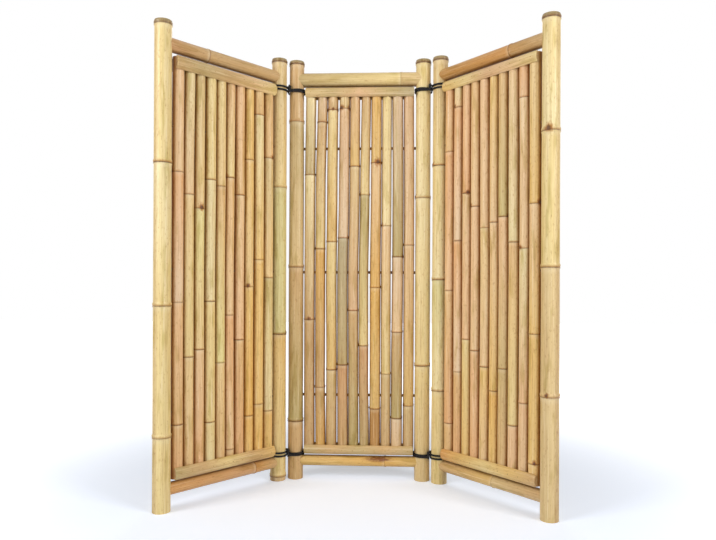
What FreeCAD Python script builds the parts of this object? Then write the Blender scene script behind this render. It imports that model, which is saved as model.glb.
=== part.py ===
import FreeCAD, Part
import math
import os

import Sketcher

# Bamboo room divider. Three panels stand side by side and are lashed post to post with cord.
# Lengths are millimetres and angles degrees. The floor is at Z zero, +Z is up, the front is -Y.
# The centre panel lies along X, and the side panels swing forward from it.

DOC = FreeCAD.newDocument("room_divider")

# Driving sizes, one cell each.
SIZES = (
    ("screen_height", 1800, "length of a post"),
    ("post_foot_diameter", 66, "post at the floor"),
    ("post_top_diameter", 63, "post at its top"),
    ("post_wall", 7, "wall of a post's culm"),
    ("post_swell", 2.8, "how far a post's node stands out"),
    ("post_node_width", 22, "height of a post's node"),
    ("diaphragm_thickness", 4, "diaphragm inside a node"),
    ("diaphragm_hole", 6, "hole pierced through a diaphragm"),
    ("top_rail_drop", 79.5, "from the posts' tops to the top rail's axis"),
    ("bottom_rail_rise", 77.5, "from the floor to the bottom rail's axis"),
    ("top_rail_diameter", 60, "the thickest top rail"),
    ("bottom_rail_diameter", 48, "the thickest bottom rail"),
    ("rail_wall", 6, "wall of a rail's culm"),
    ("rail_swell", 1.5, "how far a rail's node stands out"),
    ("rail_node_width", 14, "length of a rail's node"),
    ("joint_gap", 0.3, "clearance of pieces that seat on each other"),
    ("plug_length", 50, "rail plug, inside the rail"),
    ("plug_gap", 0.6, "from a rail plug's shoulder to the post"),
    ("tenon_diameter", 18, "tenon of a rail plug"),
    ("tenon_reach", 12, "tenon, past the wall of the post"),
    ("slat_diameter", 42.9, "mean slat"),
    ("slat_wall", 4.5, "wall of a slat's culm"),
    ("slat_swell", 1.2, "how far a slat's node stands out"),
    ("slat_node_width", 13, "height of a slat's node"),
    ("slat_gap", 3.9, "mean gap between neighbouring slats"),
    ("slat_edge_gap", 1, "from the lashings' room to the first slat"),
    ("slat_end_cover", 0.5, "from a batten's outer edge in to the slats' ends"),
    ("top_batten_width", 50, "the widest top batten"),
    ("bottom_batten_width", 46, "the widest bottom batten"),
    ("batten_wall", 5, "wall of the split culm"),
    ("batten_rail_gap", 8.5, "from the thickest rail to a batten's edge"),
    ("rod_diameter", 12, "rod through the slats"),
    ("rod_low_height", 361, "lowest rod"),
    ("rod_middle_height", 890, "middle rod"),
    ("rod_high_height", 1424, "highest rod"),
    ("nail_diameter", 1.8, "nail shank"),
    ("nail_head_diameter", 4, "nail head"),
    ("nail_head_height", 0.8, "nail head"),
    ("nail_gap", 0.1, "clearance round a nail's shank"),
    ("nail_reach", 3, "nail, past the wall of the mean slat"),
    ("cord_diameter", 6.5, "lashing cord"),
    ("cord_gap", 0.5, "between turns of the cord"),
    ("lash_rail_gap", 1, "between a lashing and the thickest rail"),
    ("lash_clearance", 0.3, "between the cord and the post it goes round"),
    ("lash_slack", 5, "what the posts of a pair stand apart beyond their rings of cord"),
    ("lash_room", 0.5, "from a ring of cord to the battens' ends"),
    ("knot_diameter", 12, "knot between the posts"),
    ("knot_gap", 1, "between the knot and the rings of cord"),
    ("swing_angle", 49, "how far a side panel is swung forward of flat"),
)

SLATS_IN_PANEL = 10
# The battens seat clear of the thickest slat, whose radius is at most this share of the mean one.
THICKEST_SLAT_SHARE = 1.1

# Worked out from the driving sizes. Each formula may use the cells above and the ones before it.
PLACES = (
    ("top_rail_height", "Sizes.screen_height - Sizes.top_rail_drop"),
    ("post_slope", "(Sizes.post_foot_diameter - Sizes.post_top_diameter) / 2 / Sizes.screen_height"),
    ("lash_pitch", "Sizes.cord_diameter + Sizes.cord_gap"),
    ("lash_half", "lash_pitch * 1.5 + Sizes.cord_diameter / 2"),
    ("top_lash_height", "top_rail_height - Sizes.top_rail_diameter / 2 - Sizes.lash_rail_gap - lash_half"),
    (
        "bottom_lash_height",
        "Sizes.bottom_rail_rise + Sizes.bottom_rail_diameter / 2 + Sizes.lash_rail_gap + lash_half",
    ),
    (
        "top_ring_radius",
        "Sizes.post_foot_diameter / 2 - (top_lash_height - lash_half) * post_slope"
        " + Sizes.lash_clearance + Sizes.cord_diameter / 2",
    ),
    (
        "bottom_ring_radius",
        "Sizes.post_foot_diameter / 2 - (bottom_lash_height - lash_half) * post_slope"
        " + Sizes.lash_clearance + Sizes.cord_diameter / 2",
    ),
    ("pair_spacing", "bottom_ring_radius * 2 + Sizes.lash_slack"),
    ("clear_radius", "bottom_ring_radius + Sizes.cord_diameter / 2 + Sizes.lash_room"),
    ("first_slat_edge", "clear_radius + Sizes.slat_edge_gap"),
    (
        "spacing",
        f"first_slat_edge * 2 + Sizes.slat_diameter * {SLATS_IN_PANEL}"
        f" + Sizes.slat_gap * {SLATS_IN_PANEL - 1}",
    ),
    ("link_angle", "Sizes.swing_angle / 2"),
    ("pair_side", "pair_spacing * cos(link_angle)"),
    ("pair_forward", "pair_spacing * sin(link_angle)"),
    ("panel_side", "spacing * cos(Sizes.swing_angle)"),
    ("panel_forward", "spacing * sin(Sizes.swing_angle)"),
    (
        "setback",
        "(pair_forward + panel_forward + Sizes.post_foot_diameter / 2"
        " - bottom_ring_radius - Sizes.cord_diameter / 2) / 2",
    ),
    ("top_batten_edge", "top_rail_height - Sizes.top_rail_diameter / 2 - Sizes.batten_rail_gap"),
    (
        "bottom_batten_edge",
        "Sizes.bottom_rail_rise + Sizes.bottom_rail_diameter / 2 + Sizes.batten_rail_gap",
    ),
    ("slat_foot", "bottom_batten_edge + Sizes.slat_end_cover"),
    ("slat_top", "top_batten_edge - Sizes.slat_end_cover"),
    ("batten_seat", f"Sizes.slat_diameter / 2 * {THICKEST_SLAT_SHARE} + Sizes.joint_gap"),
)

# A batten is split from a culm whose radius is this share of the batten's width.
BATTEN_RADIUS_SHARE = 0.6
# A slat's foot is thicker than its middle, and its top thinner, by this share.
SLAT_TAPER_SHARE = 0.02
# A rail's tips start this share of the post's radius from the post's axis.
RAIL_TIP_SHARE = 0.33
# A knot's rims are rounded by this share of its radius, less than the cord, so the rounding clears the cord.
KNOT_ROUNDING_SHARE = 0.33

PANELS = ("left", "centre", "right")

# Node heights, as shares of the screen's height.
POST_NODE_SHARES = {
    "left_outer_post": (0.154, 0.421, 0.712, 0.993),
    "left_inner_post": (0.012, 0.349, 0.696, 0.993),
    "centre_left_post": (0.14, 0.508, 0.856, 0.993),
    "centre_right_post": (0.275, 0.673, 0.993),
    "right_inner_post": (0.219, 0.479, 0.746, 0.993),
    "right_outer_post": (0.246, 0.502, 0.771, 0.993),
}

# Nodes along a rail from its left end, as shares of the post spacing, and rails as shares of the thickest.
RAIL_NODE_SHARES = {
    "left_top_rail": (0.34,),
    "left_bottom_rail": (0.76,),
    "centre_top_rail": (0.825,),
    "centre_bottom_rail": (0.71,),
    "right_top_rail": (0.69,),
    "right_bottom_rail": (0.552,),
}
RAIL_GIRTH_SHARES = {
    "left_top_rail": 0.87,
    "left_bottom_rail": 1.0,
    "centre_top_rail": 1.0,
    "centre_bottom_rail": 0.95,
    "right_top_rail": 0.89,
    "right_bottom_rail": 1.0,
}

# Battens, as shares of the widest.
BATTEN_WIDTH_SHARES = {
    "left_top_battens": 1.0,
    "left_bottom_battens": 1.0,
    "centre_top_battens": 0.8,
    "centre_bottom_battens": 0.85,
    "right_top_battens": 0.82,
    "right_bottom_battens": 1.0,
}

# Slats from left to right: diameters and the gaps between them, as shares of the mean ones.
SLAT_GIRTH_SHARES = {
    "left": (0.99, 0.97, 0.95, 1.04, 0.99, 0.91, 0.99, 0.99, 1.07, 1.05),
    "centre": (1.01, 0.98, 1.02, 1.02, 0.98, 0.93, 1.02, 0.95, 1.07, 1.01),
    "right": (1.04, 0.98, 0.95, 0.99, 1.01, 0.93, 1.0, 1.04, 0.95, 1.04),
}
SLAT_GAP_SHARES = {
    "left": (0.78, 0.8, 1.15, 0.95, 0.7, 0.98, 1.05, 1.2, 1.3),
    "centre": (1.35, 0.75, 0.9, 0.98, 1.2, 0.95, 1.25, 0.85, 0.9),
    "right": (1.25, 0.95, 1.2, 1.05, 0.8, 1.05, 0.95, 0.85, 0.95),
}

# Node heights of the slats from left to right, as shares of the screen's height.
SLAT_NODE_SHARES = {
    "left": (
        (0.174, 0.427, 0.697),
        (0.312, 0.653),
        (0.326, 0.626),
        (0.168, 0.428, 0.69),
        (0.294, 0.679),
        (0.1, 0.397, 0.701),
        (0.341, 0.665),
        (0.167, 0.46, 0.748),
        (0.19, 0.522, 0.855),
        (0.171, 0.481, 0.76),
    ),
    "centre": (
        (0.382, 0.728),
        (0.22, 0.551, 0.854),
        (0.262, 0.568, 0.883),
        (0.274, 0.577, 0.886),
        (0.404, 0.748),
        (0.32, 0.68),
        (0.17, 0.459, 0.756),
        (0.253, 0.606),
        (0.148, 0.353, 0.532),
        (0.178, 0.56),
    ),
    "right": (
        (0.148, 0.453, 0.772),
        (0.269, 0.566, 0.869),
        (0.344, 0.671),
        (0.321, 0.639),
        (0.288, 0.59),
        (0.239, 0.6),
        (0.289, 0.61),
        (0.174, 0.555),
        (0.224, 0.541, 0.85),
        (0.106, 0.367, 0.63),
    ),
}


def fill_sheet(name, rows, prefix=""):
    """Put each row's value in a cell with its own alias."""
    sheet = DOC.addObject("Spreadsheet::Sheet", name)
    for line, row in enumerate(rows, start=1):
        sheet.set(f"A{line}", row[0])
        sheet.set(f"B{line}", prefix + str(row[1]))
        sheet.setAlias(f"B{line}", row[0])
        sheet.set(f"C{line}", row[2] if len(row) > 2 else "")
    DOC.recompute()
    return sheet


SHEET = fill_sheet("Sizes", SIZES)
fill_sheet("Places", PLACES, "=")


def number(formula):
    """The value of a formula over the sheets' cells."""
    return float(SHEET.evalExpression(str(formula)))


def bind(thing, **formulas):
    """Bind properties of a feature to formulas."""
    for name, formula in formulas.items():
        thing.setExpression(name, str(formula))


def origin_plane(body, role):
    """One of a body's own origin planes or axes."""
    return next(feature for feature in body.Origin.OriginFeatures if feature.Role == role)


def new_body(label):
    """An empty body with its label."""
    body = DOC.addObject("PartDesign::Body", label)
    body.Label = label
    return body


def new_sketch(body, name, role):
    """A sketch on one of the body's origin planes."""
    sketch = body.newObject("Sketcher::SketchObject", name)
    sketch.AttachmentSupport = [(origin_plane(body, role), "")]
    sketch.MapMode = "FlatFace"
    return sketch


def pin_point(sketch, side, end, across, along):
    """Hold one end of a side at two formulas, measured from the sketch's origin."""
    for kind, formula, axis in (("DistanceX", across, -2), ("DistanceY", along, -1)):
        value = number(formula)
        if value == 0:
            sketch.addConstraint(Sketcher.Constraint("PointOnObject", side, end, axis))
            continue
        index = sketch.addConstraint(Sketcher.Constraint(kind, -1, 1, side, end, value))
        sketch.setExpression(f"Constraints[{index}]", str(formula))


def bulge_middle(start, end, radius):
    """The middle of an arc that bulges to the right of the way from start to end."""
    chord = end - start
    rise = radius - math.sqrt(radius**2 - (chord.Length / 2) ** 2)
    outward = FreeCAD.Vector(chord.y, -chord.x, 0).normalize()
    return (start + end) / 2 + outward * rise


def draw_outline(sketch, corners):
    """Draw a closed outline. Each corner is two formulas, and a third is the radius of a bulging arc
    from there to the next corner."""
    points = [FreeCAD.Vector(number(corner[0]), number(corner[1]), 0) for corner in corners]
    for index, corner in enumerate(corners):
        start = points[index]
        end = points[(index + 1) % len(points)]
        if len(corner) > 2:
            sketch.addGeometry(Part.Arc(start, bulge_middle(start, end, number(corner[2])), end), False)
        else:
            sketch.addGeometry(Part.LineSegment(start, end), False)
    for index, corner in enumerate(corners):
        following = (index + 1) % len(corners)
        sketch.addConstraint(Sketcher.Constraint("Coincident", index, 2, following, 1))
        pin_point(sketch, index, 1, corner[0], corner[1])
        if len(corner) > 2:
            held = sketch.addConstraint(Sketcher.Constraint("Radius", index, number(corner[2])))
            sketch.setExpression(f"Constraints[{held}]", str(corner[2]))


def draw_circles(sketch, circles):
    """Draw circles, each two formulas for its centre and one for its radius."""
    for index, (across, along, radius) in enumerate(circles):
        centre = FreeCAD.Vector(number(across), number(along), 0)
        sketch.addGeometry(Part.Circle(centre, FreeCAD.Vector(0, 0, 1), number(radius)), False)
        pin_point(sketch, index, 3, across, along)
        held = sketch.addConstraint(Sketcher.Constraint("Radius", index, number(radius)))
        sketch.setExpression(f"Constraints[{held}]", str(radius))


def revolve_outline(label, corners):
    """A body turned about its own Z axis from an outline of radius and height."""
    body = new_body(label)
    sketch = new_sketch(body, f"{label}_outline", "XZ_Plane")
    draw_outline(sketch, corners)
    turned = body.newObject("PartDesign::Revolution", f"{label}_turned")
    turned.Profile = sketch
    turned.ReferenceAxis = (sketch, ["V_Axis"])
    turned.Angle = 360
    DOC.recompute()
    return body


def pierce(body, name, role, circles, one_way=None):
    """Cut round holes square to one of the body's origin planes, both ways or towards one side of it."""
    before = body.Shape.Volume
    middle_before = body.Shape.CenterOfGravity
    sketch = new_sketch(body, f"{body.Label}_{name}_outline", role)
    draw_circles(sketch, circles)
    hole = body.newObject("PartDesign::Pocket", f"{body.Label}_{name}")
    hole.Profile = sketch
    hole.Type = "ThroughAll"
    hole.Midplane = one_way is None
    DOC.recompute()
    if one_way is not None and (middle_before - body.Shape.CenterOfGravity).dot(one_way) < 0:
        hole.Reversed = True
        DOC.recompute()
    assert body.Shape.Volume < before, f"{hole.Name} cuts nothing"


def culm_corners(foot, top, foot_radius, top_radius, wall, swell, node_width, nodes, capped=False):
    """The outline of a hollow culm: tapered, swollen at each node, with a pierced diaphragm inside each.
    A capped culm has a whole diaphragm at its last node."""
    slope = f"(({top_radius}) - ({foot_radius})) / (({top}) - ({foot}))"

    def outside(height):
        return f"({foot_radius}) + (({height}) - ({foot})) * {slope}"

    def inside(height):
        return f"{outside(height)} - {wall}"

    arc = f"({node_width} * {node_width} / 4 + {swell} * {swell}) / (2 * {swell})"
    corners = [(outside(foot), foot)]
    for node in nodes:
        low = f"{node} - {node_width} / 2"
        high = f"{node} + {node_width} / 2"
        corners.append((outside(low), low, arc))
        corners.append((outside(high), high))
    corners.append((outside(top), top))
    corners.append((inside(top), top))
    for node in reversed(nodes):
        low = f"{node} - Sizes.diaphragm_thickness / 2"
        high = f"{node} + Sizes.diaphragm_thickness / 2"
        hole = "0" if capped and node == nodes[-1] else "Sizes.diaphragm_hole / 2"
        corners += [(inside(high), high), (hole, high), (hole, low), (inside(low), low)]
    corners.append((inside(foot), foot))
    return corners


PANEL_ANGLE = {"left": "Sizes.swing_angle", "centre": "0", "right": "-Sizes.swing_angle"}
PANEL_X = {
    "left": "(-Places.spacing / 2 - Places.pair_side - Places.panel_side)",
    "centre": "(-Places.spacing / 2)",
    "right": "(Places.spacing / 2 + Places.pair_side)",
}
PANEL_Y = {
    "left": "(Places.setback - Places.pair_forward - Places.panel_forward)",
    "centre": "Places.setback",
    "right": "(Places.setback - Places.pair_forward)",
}


def place_in(thing, panel, along, front, height):
    """Bind a piece's place in a panel: along it from the left post's axis, and front of its plane."""
    angle = PANEL_ANGLE[panel]
    sideways = f"{PANEL_X[panel]} + ({along}) * cos({angle}) + ({front}) * sin({angle})"
    backwards = f"{PANEL_Y[panel]} + ({along}) * sin({angle}) - ({front}) * cos({angle})"
    for axis, formula in (("x", sideways), ("y", backwards), ("z", height)):
        thing.setExpression(f"Placement.Base.{axis}", formula)


def stand(thing, panel, along="0", front="0", height="0"):
    """Stand an upright piece in a panel."""
    thing.setExpression("Placement.Rotation.Angle", PANEL_ANGLE[panel])
    place_in(thing, panel, along, front, height)


def lay(thing, panel, along="0", front="0", height="0", flip=False):
    """Lay a piece that is modelled upright along the panel, its foot to the left or, flipped, to the right.
    Its own X axis then points down, or up when it is flipped."""
    tilt = FreeCAD.Rotation(FreeCAD.Vector(0, 1, 0), -90 if flip else 90)
    turn = FreeCAD.Rotation(FreeCAD.Vector(0, 0, 1), number(PANEL_ANGLE[panel]))
    thing.Placement.Rotation = turn * tilt
    place_in(thing, panel, along, front, height)


def group(label, pieces):
    """One node of several separate pieces."""
    together = DOC.addObject("Part::Compound", label)
    together.Label = label
    together.Links = pieces
    return together


def post_radius(height):
    """A post's plain radius at a height."""
    return f"(Sizes.post_foot_diameter / 2 - ({height}) * Places.post_slope)"


RAIL_HEIGHTS = {"top": "Places.top_rail_height", "bottom": "Sizes.bottom_rail_rise"}
ROD_HEIGHTS = ("Sizes.rod_low_height", "Sizes.rod_middle_height", "Sizes.rod_high_height")


def rail_radius(panel, level):
    """A rail's outer radius."""
    share = RAIL_GIRTH_SHARES[f"{panel}_{level}_rail"]
    return f"(Sizes.{level}_rail_diameter / 2 * {share})"


def make_post(label, panel, on_left):
    """A post, with holes on the panel's side for the rail plugs' tenons and the rods."""
    nodes = [f"Sizes.screen_height * {share}" for share in POST_NODE_SHARES[label]]
    corners = culm_corners(
        "0",
        "Sizes.screen_height",
        "Sizes.post_foot_diameter / 2",
        "Sizes.post_top_diameter / 2",
        "Sizes.post_wall",
        "Sizes.post_swell",
        "Sizes.post_node_width",
        nodes,
        capped=True,
    )
    body = revolve_outline(label, corners)
    holes = [("0", height, "Sizes.tenon_diameter / 2 + Sizes.joint_gap") for height in RAIL_HEIGHTS.values()]
    holes += [("0", height, "Sizes.rod_diameter / 2 + Sizes.joint_gap") for height in ROD_HEIGHTS]
    towards_panel = FreeCAD.Vector(1 if on_left else -1, 0, 0)
    pierce(body, "holes", "YZ_Plane", holes, towards_panel)
    stand(body, panel, "0" if on_left else "Places.spacing")
    return body


def make_rail(panel, level):
    """A rail whose fish-mouthed ends clasp both posts."""
    label = f"{panel}_{level}_rail"
    height = RAIL_HEIGHTS[level]
    radius = rail_radius(panel, level)
    start = f"{post_radius(height)} * {RAIL_TIP_SHARE}"
    corners = culm_corners(
        start,
        f"Places.spacing - {start}",
        radius,
        radius,
        "Sizes.rail_wall",
        "Sizes.rail_swell",
        "Sizes.rail_node_width",
        [f"Places.spacing * {share}" for share in RAIL_NODE_SHARES[label]],
    )
    body = revolve_outline(label, corners)
    mouth = f"{post_radius(f'{height} - {radius}')} + Sizes.joint_gap"
    pierce(body, "mouths", "YZ_Plane", [("0", "0", mouth), ("0", "Places.spacing", mouth)])
    lay(body, panel, height=height)
    return body


def make_plug(panel, level, at_left):
    """A turned plug in a rail's end, with a tenon through the wall of the post."""
    label = f"{panel}_{level}_plug_{'left' if at_left else 'right'}"
    height = RAIL_HEIGHTS[level]
    post = post_radius(height)
    tenon_end = f"{post} - Sizes.post_wall - Sizes.tenon_reach"
    shoulder = f"{post} + Sizes.plug_gap"
    plug = f"{rail_radius(panel, level)} - Sizes.rail_wall - Sizes.joint_gap"
    tenon = "Sizes.tenon_diameter / 2"
    end = f"{shoulder} + Sizes.plug_length"
    corners = [("0", tenon_end), (tenon, tenon_end), (tenon, shoulder)]
    corners += [(plug, shoulder), (plug, end), ("0", end)]
    body = revolve_outline(label, corners)
    lay(body, panel, "0" if at_left else "Places.spacing", height=height, flip=not at_left)
    return body


def slat_layout(panel):
    """Each slat's place along the panel and its radius, as formulas."""
    girths = SLAT_GIRTH_SHARES[panel]
    gaps = SLAT_GAP_SHARES[panel]
    girth_scale = len(girths) / sum(girths)
    gap_scale = len(gaps) / sum(gaps)
    layout = []
    before = 0
    between = 0
    for girth, gap in zip(girths, gaps + (0,)):
        share = girth * girth_scale
        place = (
            f"Places.first_slat_edge + Sizes.slat_diameter * {before + share / 2:.4f}"
            f" + Sizes.slat_gap * {between:.4f}"
        )
        layout.append((place, f"Sizes.slat_diameter / 2 * {share:.4f}"))
        before += share
        between += gap * gap_scale
    return layout


def batten_width(panel, level):
    """The width of a panel's battens."""
    share = BATTEN_WIDTH_SHARES[f"{panel}_{level}_battens"]
    return f"(Sizes.{level}_batten_width * {share})"


def batten_middle(panel, level):
    """The height of a batten's middle line."""
    half = f"{batten_width(panel, level)} / 2"
    return f"Places.top_batten_edge - {half}" if level == "top" else f"Places.bottom_batten_edge + {half}"


def make_slat(panel, place, place_along, radius):
    """A slat, with holes for the three rods and for the battens' nails."""
    label = f"{panel}_slat_{place + 1:02d}"
    corners = culm_corners(
        "Places.slat_foot",
        "Places.slat_top",
        f"{radius} * {1 + SLAT_TAPER_SHARE}",
        f"{radius} * {1 - SLAT_TAPER_SHARE}",
        "Sizes.slat_wall",
        "Sizes.slat_swell",
        "Sizes.slat_node_width",
        [f"Sizes.screen_height * {share}" for share in SLAT_NODE_SHARES[panel][place]],
    )
    body = revolve_outline(label, corners)
    rod_hole = "Sizes.rod_diameter / 2 + Sizes.joint_gap"
    pierce(body, "rod_holes", "YZ_Plane", [("0", height, rod_hole) for height in ROD_HEIGHTS])
    nail_hole = "Sizes.nail_diameter / 2 + Sizes.nail_gap"
    heights = [batten_middle(panel, level) for level in ("bottom", "top")]
    pierce(body, "nail_holes", "XZ_Plane", [("0", height, nail_hole) for height in heights])
    stand(body, panel, place_along)
    return body


def make_batten(panel, level, side, layout):
    """A split culm across the slats. Its flat edges face them, and it has a pilot hole at each slat."""
    label = f"{panel}_{level}_batten_{side}"
    width = batten_width(panel, level)
    radius = f"({width} * {BATTEN_RADIUS_SHARE})"
    bore = f"({radius} - Sizes.batten_wall)"
    behind = f"sqrt({radius} * {radius} - {width} * {width} / 4)"
    inner = f"sqrt({bore} * {bore} - {behind} * {behind})"
    half = f"{width} / 2"
    body = new_body(label)
    sketch = new_sketch(body, f"{label}_section", "XY_Plane")
    corners = [(f"-({half})", "0", radius), (half, "0"), (inner, "0"), (f"-({inner})", "0")]
    draw_split(sketch, corners, radius, bore)
    pad = body.newObject("PartDesign::Pad", f"{label}_length")
    pad.Profile = sketch
    bind(pad, Length="Places.spacing - Places.clear_radius * 2")
    DOC.recompute()
    nail_hole = "Sizes.nail_diameter / 2 + Sizes.nail_gap"
    places = [("0", f"{place} - Places.clear_radius", nail_hole) for place, _ in layout]
    pierce(body, "pilot_holes", "XZ_Plane", places)
    seat = "Places.batten_seat" if side == "front" else "-Places.batten_seat"
    lay(body, panel, "Places.clear_radius", seat, batten_middle(panel, level))
    if side == "back":
        over = FreeCAD.Rotation(FreeCAD.Vector(0, 0, 1), 180)
        body.Placement.Rotation = body.Placement.Rotation * over
    return body


def draw_split(sketch, corners, radius, bore):
    """The section of a split culm: two arcs on one centre, joined by the flat edges that face the slats."""
    points = [FreeCAD.Vector(number(across), number(along), 0) for across, along in (c[:2] for c in corners)]
    outer_top = bulge_middle(points[0], points[1], number(radius))
    inner_top = bulge_middle(points[3], points[2], number(bore))
    sketch.addGeometry(Part.Arc(points[0], outer_top, points[1]), False)
    sketch.addGeometry(Part.LineSegment(points[1], points[2]), False)
    sketch.addGeometry(Part.Arc(points[3], inner_top, points[2]), False)
    sketch.addGeometry(Part.LineSegment(points[3], points[0]), False)
    for first, first_end, second, second_end in ((0, 2, 1, 1), (1, 2, 2, 2), (2, 1, 3, 1), (3, 2, 0, 1)):
        sketch.addConstraint(Sketcher.Constraint("Coincident", first, first_end, second, second_end))
    for side, end, corner in ((0, 1, 0), (0, 2, 1), (2, 2, 2), (2, 1, 3)):
        pin_point(sketch, side, end, corners[corner][0], corners[corner][1])
    for side, value in ((0, radius), (2, bore)):
        held = sketch.addConstraint(Sketcher.Constraint("Radius", side, number(value)))
        sketch.setExpression(f"Constraints[{held}]", value)


def make_rods(panel):
    """Three rods from post to post, each ending inside the posts' walls."""
    rods = []
    for level, height in zip(("low", "middle", "high"), ROD_HEIGHTS):
        rod = DOC.addObject("Part::Cylinder", f"{panel}_rod_{level}")
        inset = f"{post_radius(height)} - Sizes.post_wall / 2"
        bind(rod, Radius="Sizes.rod_diameter / 2", Height=f"Places.spacing - 2 * ({inset})")
        lay(rod, panel, inset, height=height)
        rods.append(rod)
    return group(f"{panel}_rods", rods)


def make_nails(panel, layout):
    """A nail through each batten into each slat, front and back, with its head on the batten."""
    shank_radius = number("Sizes.nail_diameter / 2")
    head_radius = number("Sizes.nail_head_diameter / 2")
    head_height = number("Sizes.nail_head_height")
    tip = number("Sizes.slat_diameter / 2 - Sizes.slat_wall - Sizes.nail_reach")
    turn = FreeCAD.Rotation(FreeCAD.Vector(0, 0, 1), number(PANEL_ANGLE[panel]))
    base = FreeCAD.Vector(number(PANEL_X[panel]), number(PANEL_Y[panel]), 0)
    nails = []
    for level in ("bottom", "top"):
        width = number(batten_width(panel, level))
        radius = width * BATTEN_RADIUS_SHARE
        crown = number("Places.batten_seat") + radius - math.sqrt(radius**2 - width**2 / 4)
        height = number(batten_middle(panel, level))
        for place, _ in layout:
            for way in (-1, 1):
                out = FreeCAD.Vector(0, way, 0)
                foot = FreeCAD.Vector(number(place), way * tip, height)
                seat = FreeCAD.Vector(number(place), way * crown, height)
                shank = Part.makeCylinder(shank_radius, crown - tip, foot, out)
                head = Part.makeCylinder(head_radius, head_height, seat, out)
                nails.append(shank.fuse(head).removeSplitter())
    node = DOC.addObject("Part::Feature", f"{panel}_nails")
    node.Label = f"{panel}_nails"
    node.Shape = Part.Compound(nails)
    node.Placement = FreeCAD.Placement(base, turn)
    return node


def arc_middle(start, heading, end):
    """The middle of the arc that leaves start along heading and ends at end."""
    chord = end - start
    along = chord / chord.Length
    sideways = (heading - along * heading.dot(along)).normalize()
    half_turn = math.acos(min(1.0, heading.dot(along))) / 2
    return (start + end) / 2 + sideways * (chord.Length / 2 * math.tan(half_turn))


def biarc(start, start_heading, end, end_heading):
    """Two arcs that join two points, along the heading of each."""
    across = end - start
    both = start_heading + end_heading
    bend = 2 * (1 - start_heading.dot(end_heading))
    reach = (math.sqrt(across.dot(both) ** 2 + bend * across.dot(across)) - across.dot(both)) / bend
    middle = (start + start_heading * reach + end - end_heading * reach) / 2
    first = Part.Arc(start, arc_middle(start, start_heading, middle), middle)
    second = Part.Arc(middle, arc_middle(end, -end_heading, middle), end)
    return [first, second]


def ring_point(centre, ring_radius, side, angle, height, climb):
    """A point on a ring of cord, and the way the cord runs there for a climb per radian."""
    turn = math.radians(angle)
    across = ring_radius * math.cos(turn)
    forward = side * ring_radius * math.sin(turn)
    point = FreeCAD.Vector(centre + across, forward, height)
    return point, FreeCAD.Vector(-forward * side, across * side, climb)


def ring_turn(centre, ring_radius, side, start, end, low, high):
    """A turn of cord round a post in four parts, climbing smoothly from low to high."""
    parts = 4
    sense = 1 if end > start else -1
    curves = []
    previous = None
    for step in range(parts + 1):
        share = step / parts
        height = low + (high - low) * share**2 * (3 - 2 * share)
        climb = 6 * share * (1 - share) * (high - low) / math.radians(end - start)
        angle = start + (end - start) * share
        point, heading = ring_point(centre, ring_radius, side, angle, height, climb)
        heading = (heading * sense).normalize()
        if previous is not None:
            curves += biarc(*previous, point, heading)
        previous = (point, heading)
    return curves


def lash_route(level, side):
    """The cord of a lashing as curves in order, the knot's place, and the heights of the crossings.

    The posts of the pair stand at zero and at the pair's spacing along X, and the front is where Y has
    the sign of side. The cord leaves the knot, goes twice round each post in a figure of eight, rising
    a pitch from each crossing to the next, and comes back to the knot."""
    ring = number(f"Places.{level}_ring_radius")
    spacing = number("Places.pair_spacing")
    pitch = number("Places.lash_pitch")
    knot_radius = number("Sizes.knot_diameter / 2")
    middle = number(f"Places.{level}_lash_height")
    heights = [middle + pitch * share for share in (-1.5, -0.5, 0.5, 1.5)]
    knot_reach = ring + number("Sizes.cord_diameter / 2 + Sizes.knot_gap") + knot_radius
    knot_front = math.sqrt(knot_reach**2 - (spacing / 2) ** 2)
    cross = math.degrees(math.acos(2 * ring / spacing))
    knot_angle = math.degrees(math.acos(spacing / 2 / knot_reach))
    leave = math.degrees(math.acos(ring / knot_reach))
    turns = (
        (0, knot_angle + leave, 360 - cross, heights[0], heights[0]),
        (spacing, 180 - cross, cross - 180, heights[0], heights[1]),
        (0, cross, 360 - cross, heights[1], heights[2]),
        (spacing, 180 - cross, leave - knot_angle - 180, heights[2], heights[3]),
    )
    knot = FreeCAD.Vector(spacing / 2, side * knot_front, 0)
    last = knot + FreeCAD.Vector(0, 0, heights[0])
    curves = []
    for centre, start, end, low, high in turns:
        turn = ring_turn(centre, ring, side, start, end, low, high)
        entry = turn[0].value(turn[0].FirstParameter)
        curves.append(Part.LineSegment(last, entry))
        curves += turn
        last = turn[-1].value(turn[-1].LastParameter)
    curves.append(Part.LineSegment(last, knot + FreeCAD.Vector(0, 0, heights[3])))
    return curves, knot, heights


def least_gap(curves, cord_diameter):
    """The least gap between stretches of the cord, away from where it runs on from itself."""
    spacing = cord_diameter / 4
    nearby = cord_diameter * 3
    points = []
    run = 0
    for curve in curves:
        count = max(1, round(curve.length() / spacing))
        span = curve.LastParameter - curve.FirstParameter
        for step in range(count):
            place = run + curve.length() * step / count
            points.append((place, curve.value(curve.FirstParameter + span * step / count)))
        run += curve.length()
    least = min(
        point.distanceToPoint(other)
        for index, (place, point) in enumerate(points)
        for other_place, other in points[index + 1:]
        if other_place - place > nearby
    )
    return least - cord_diameter


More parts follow.
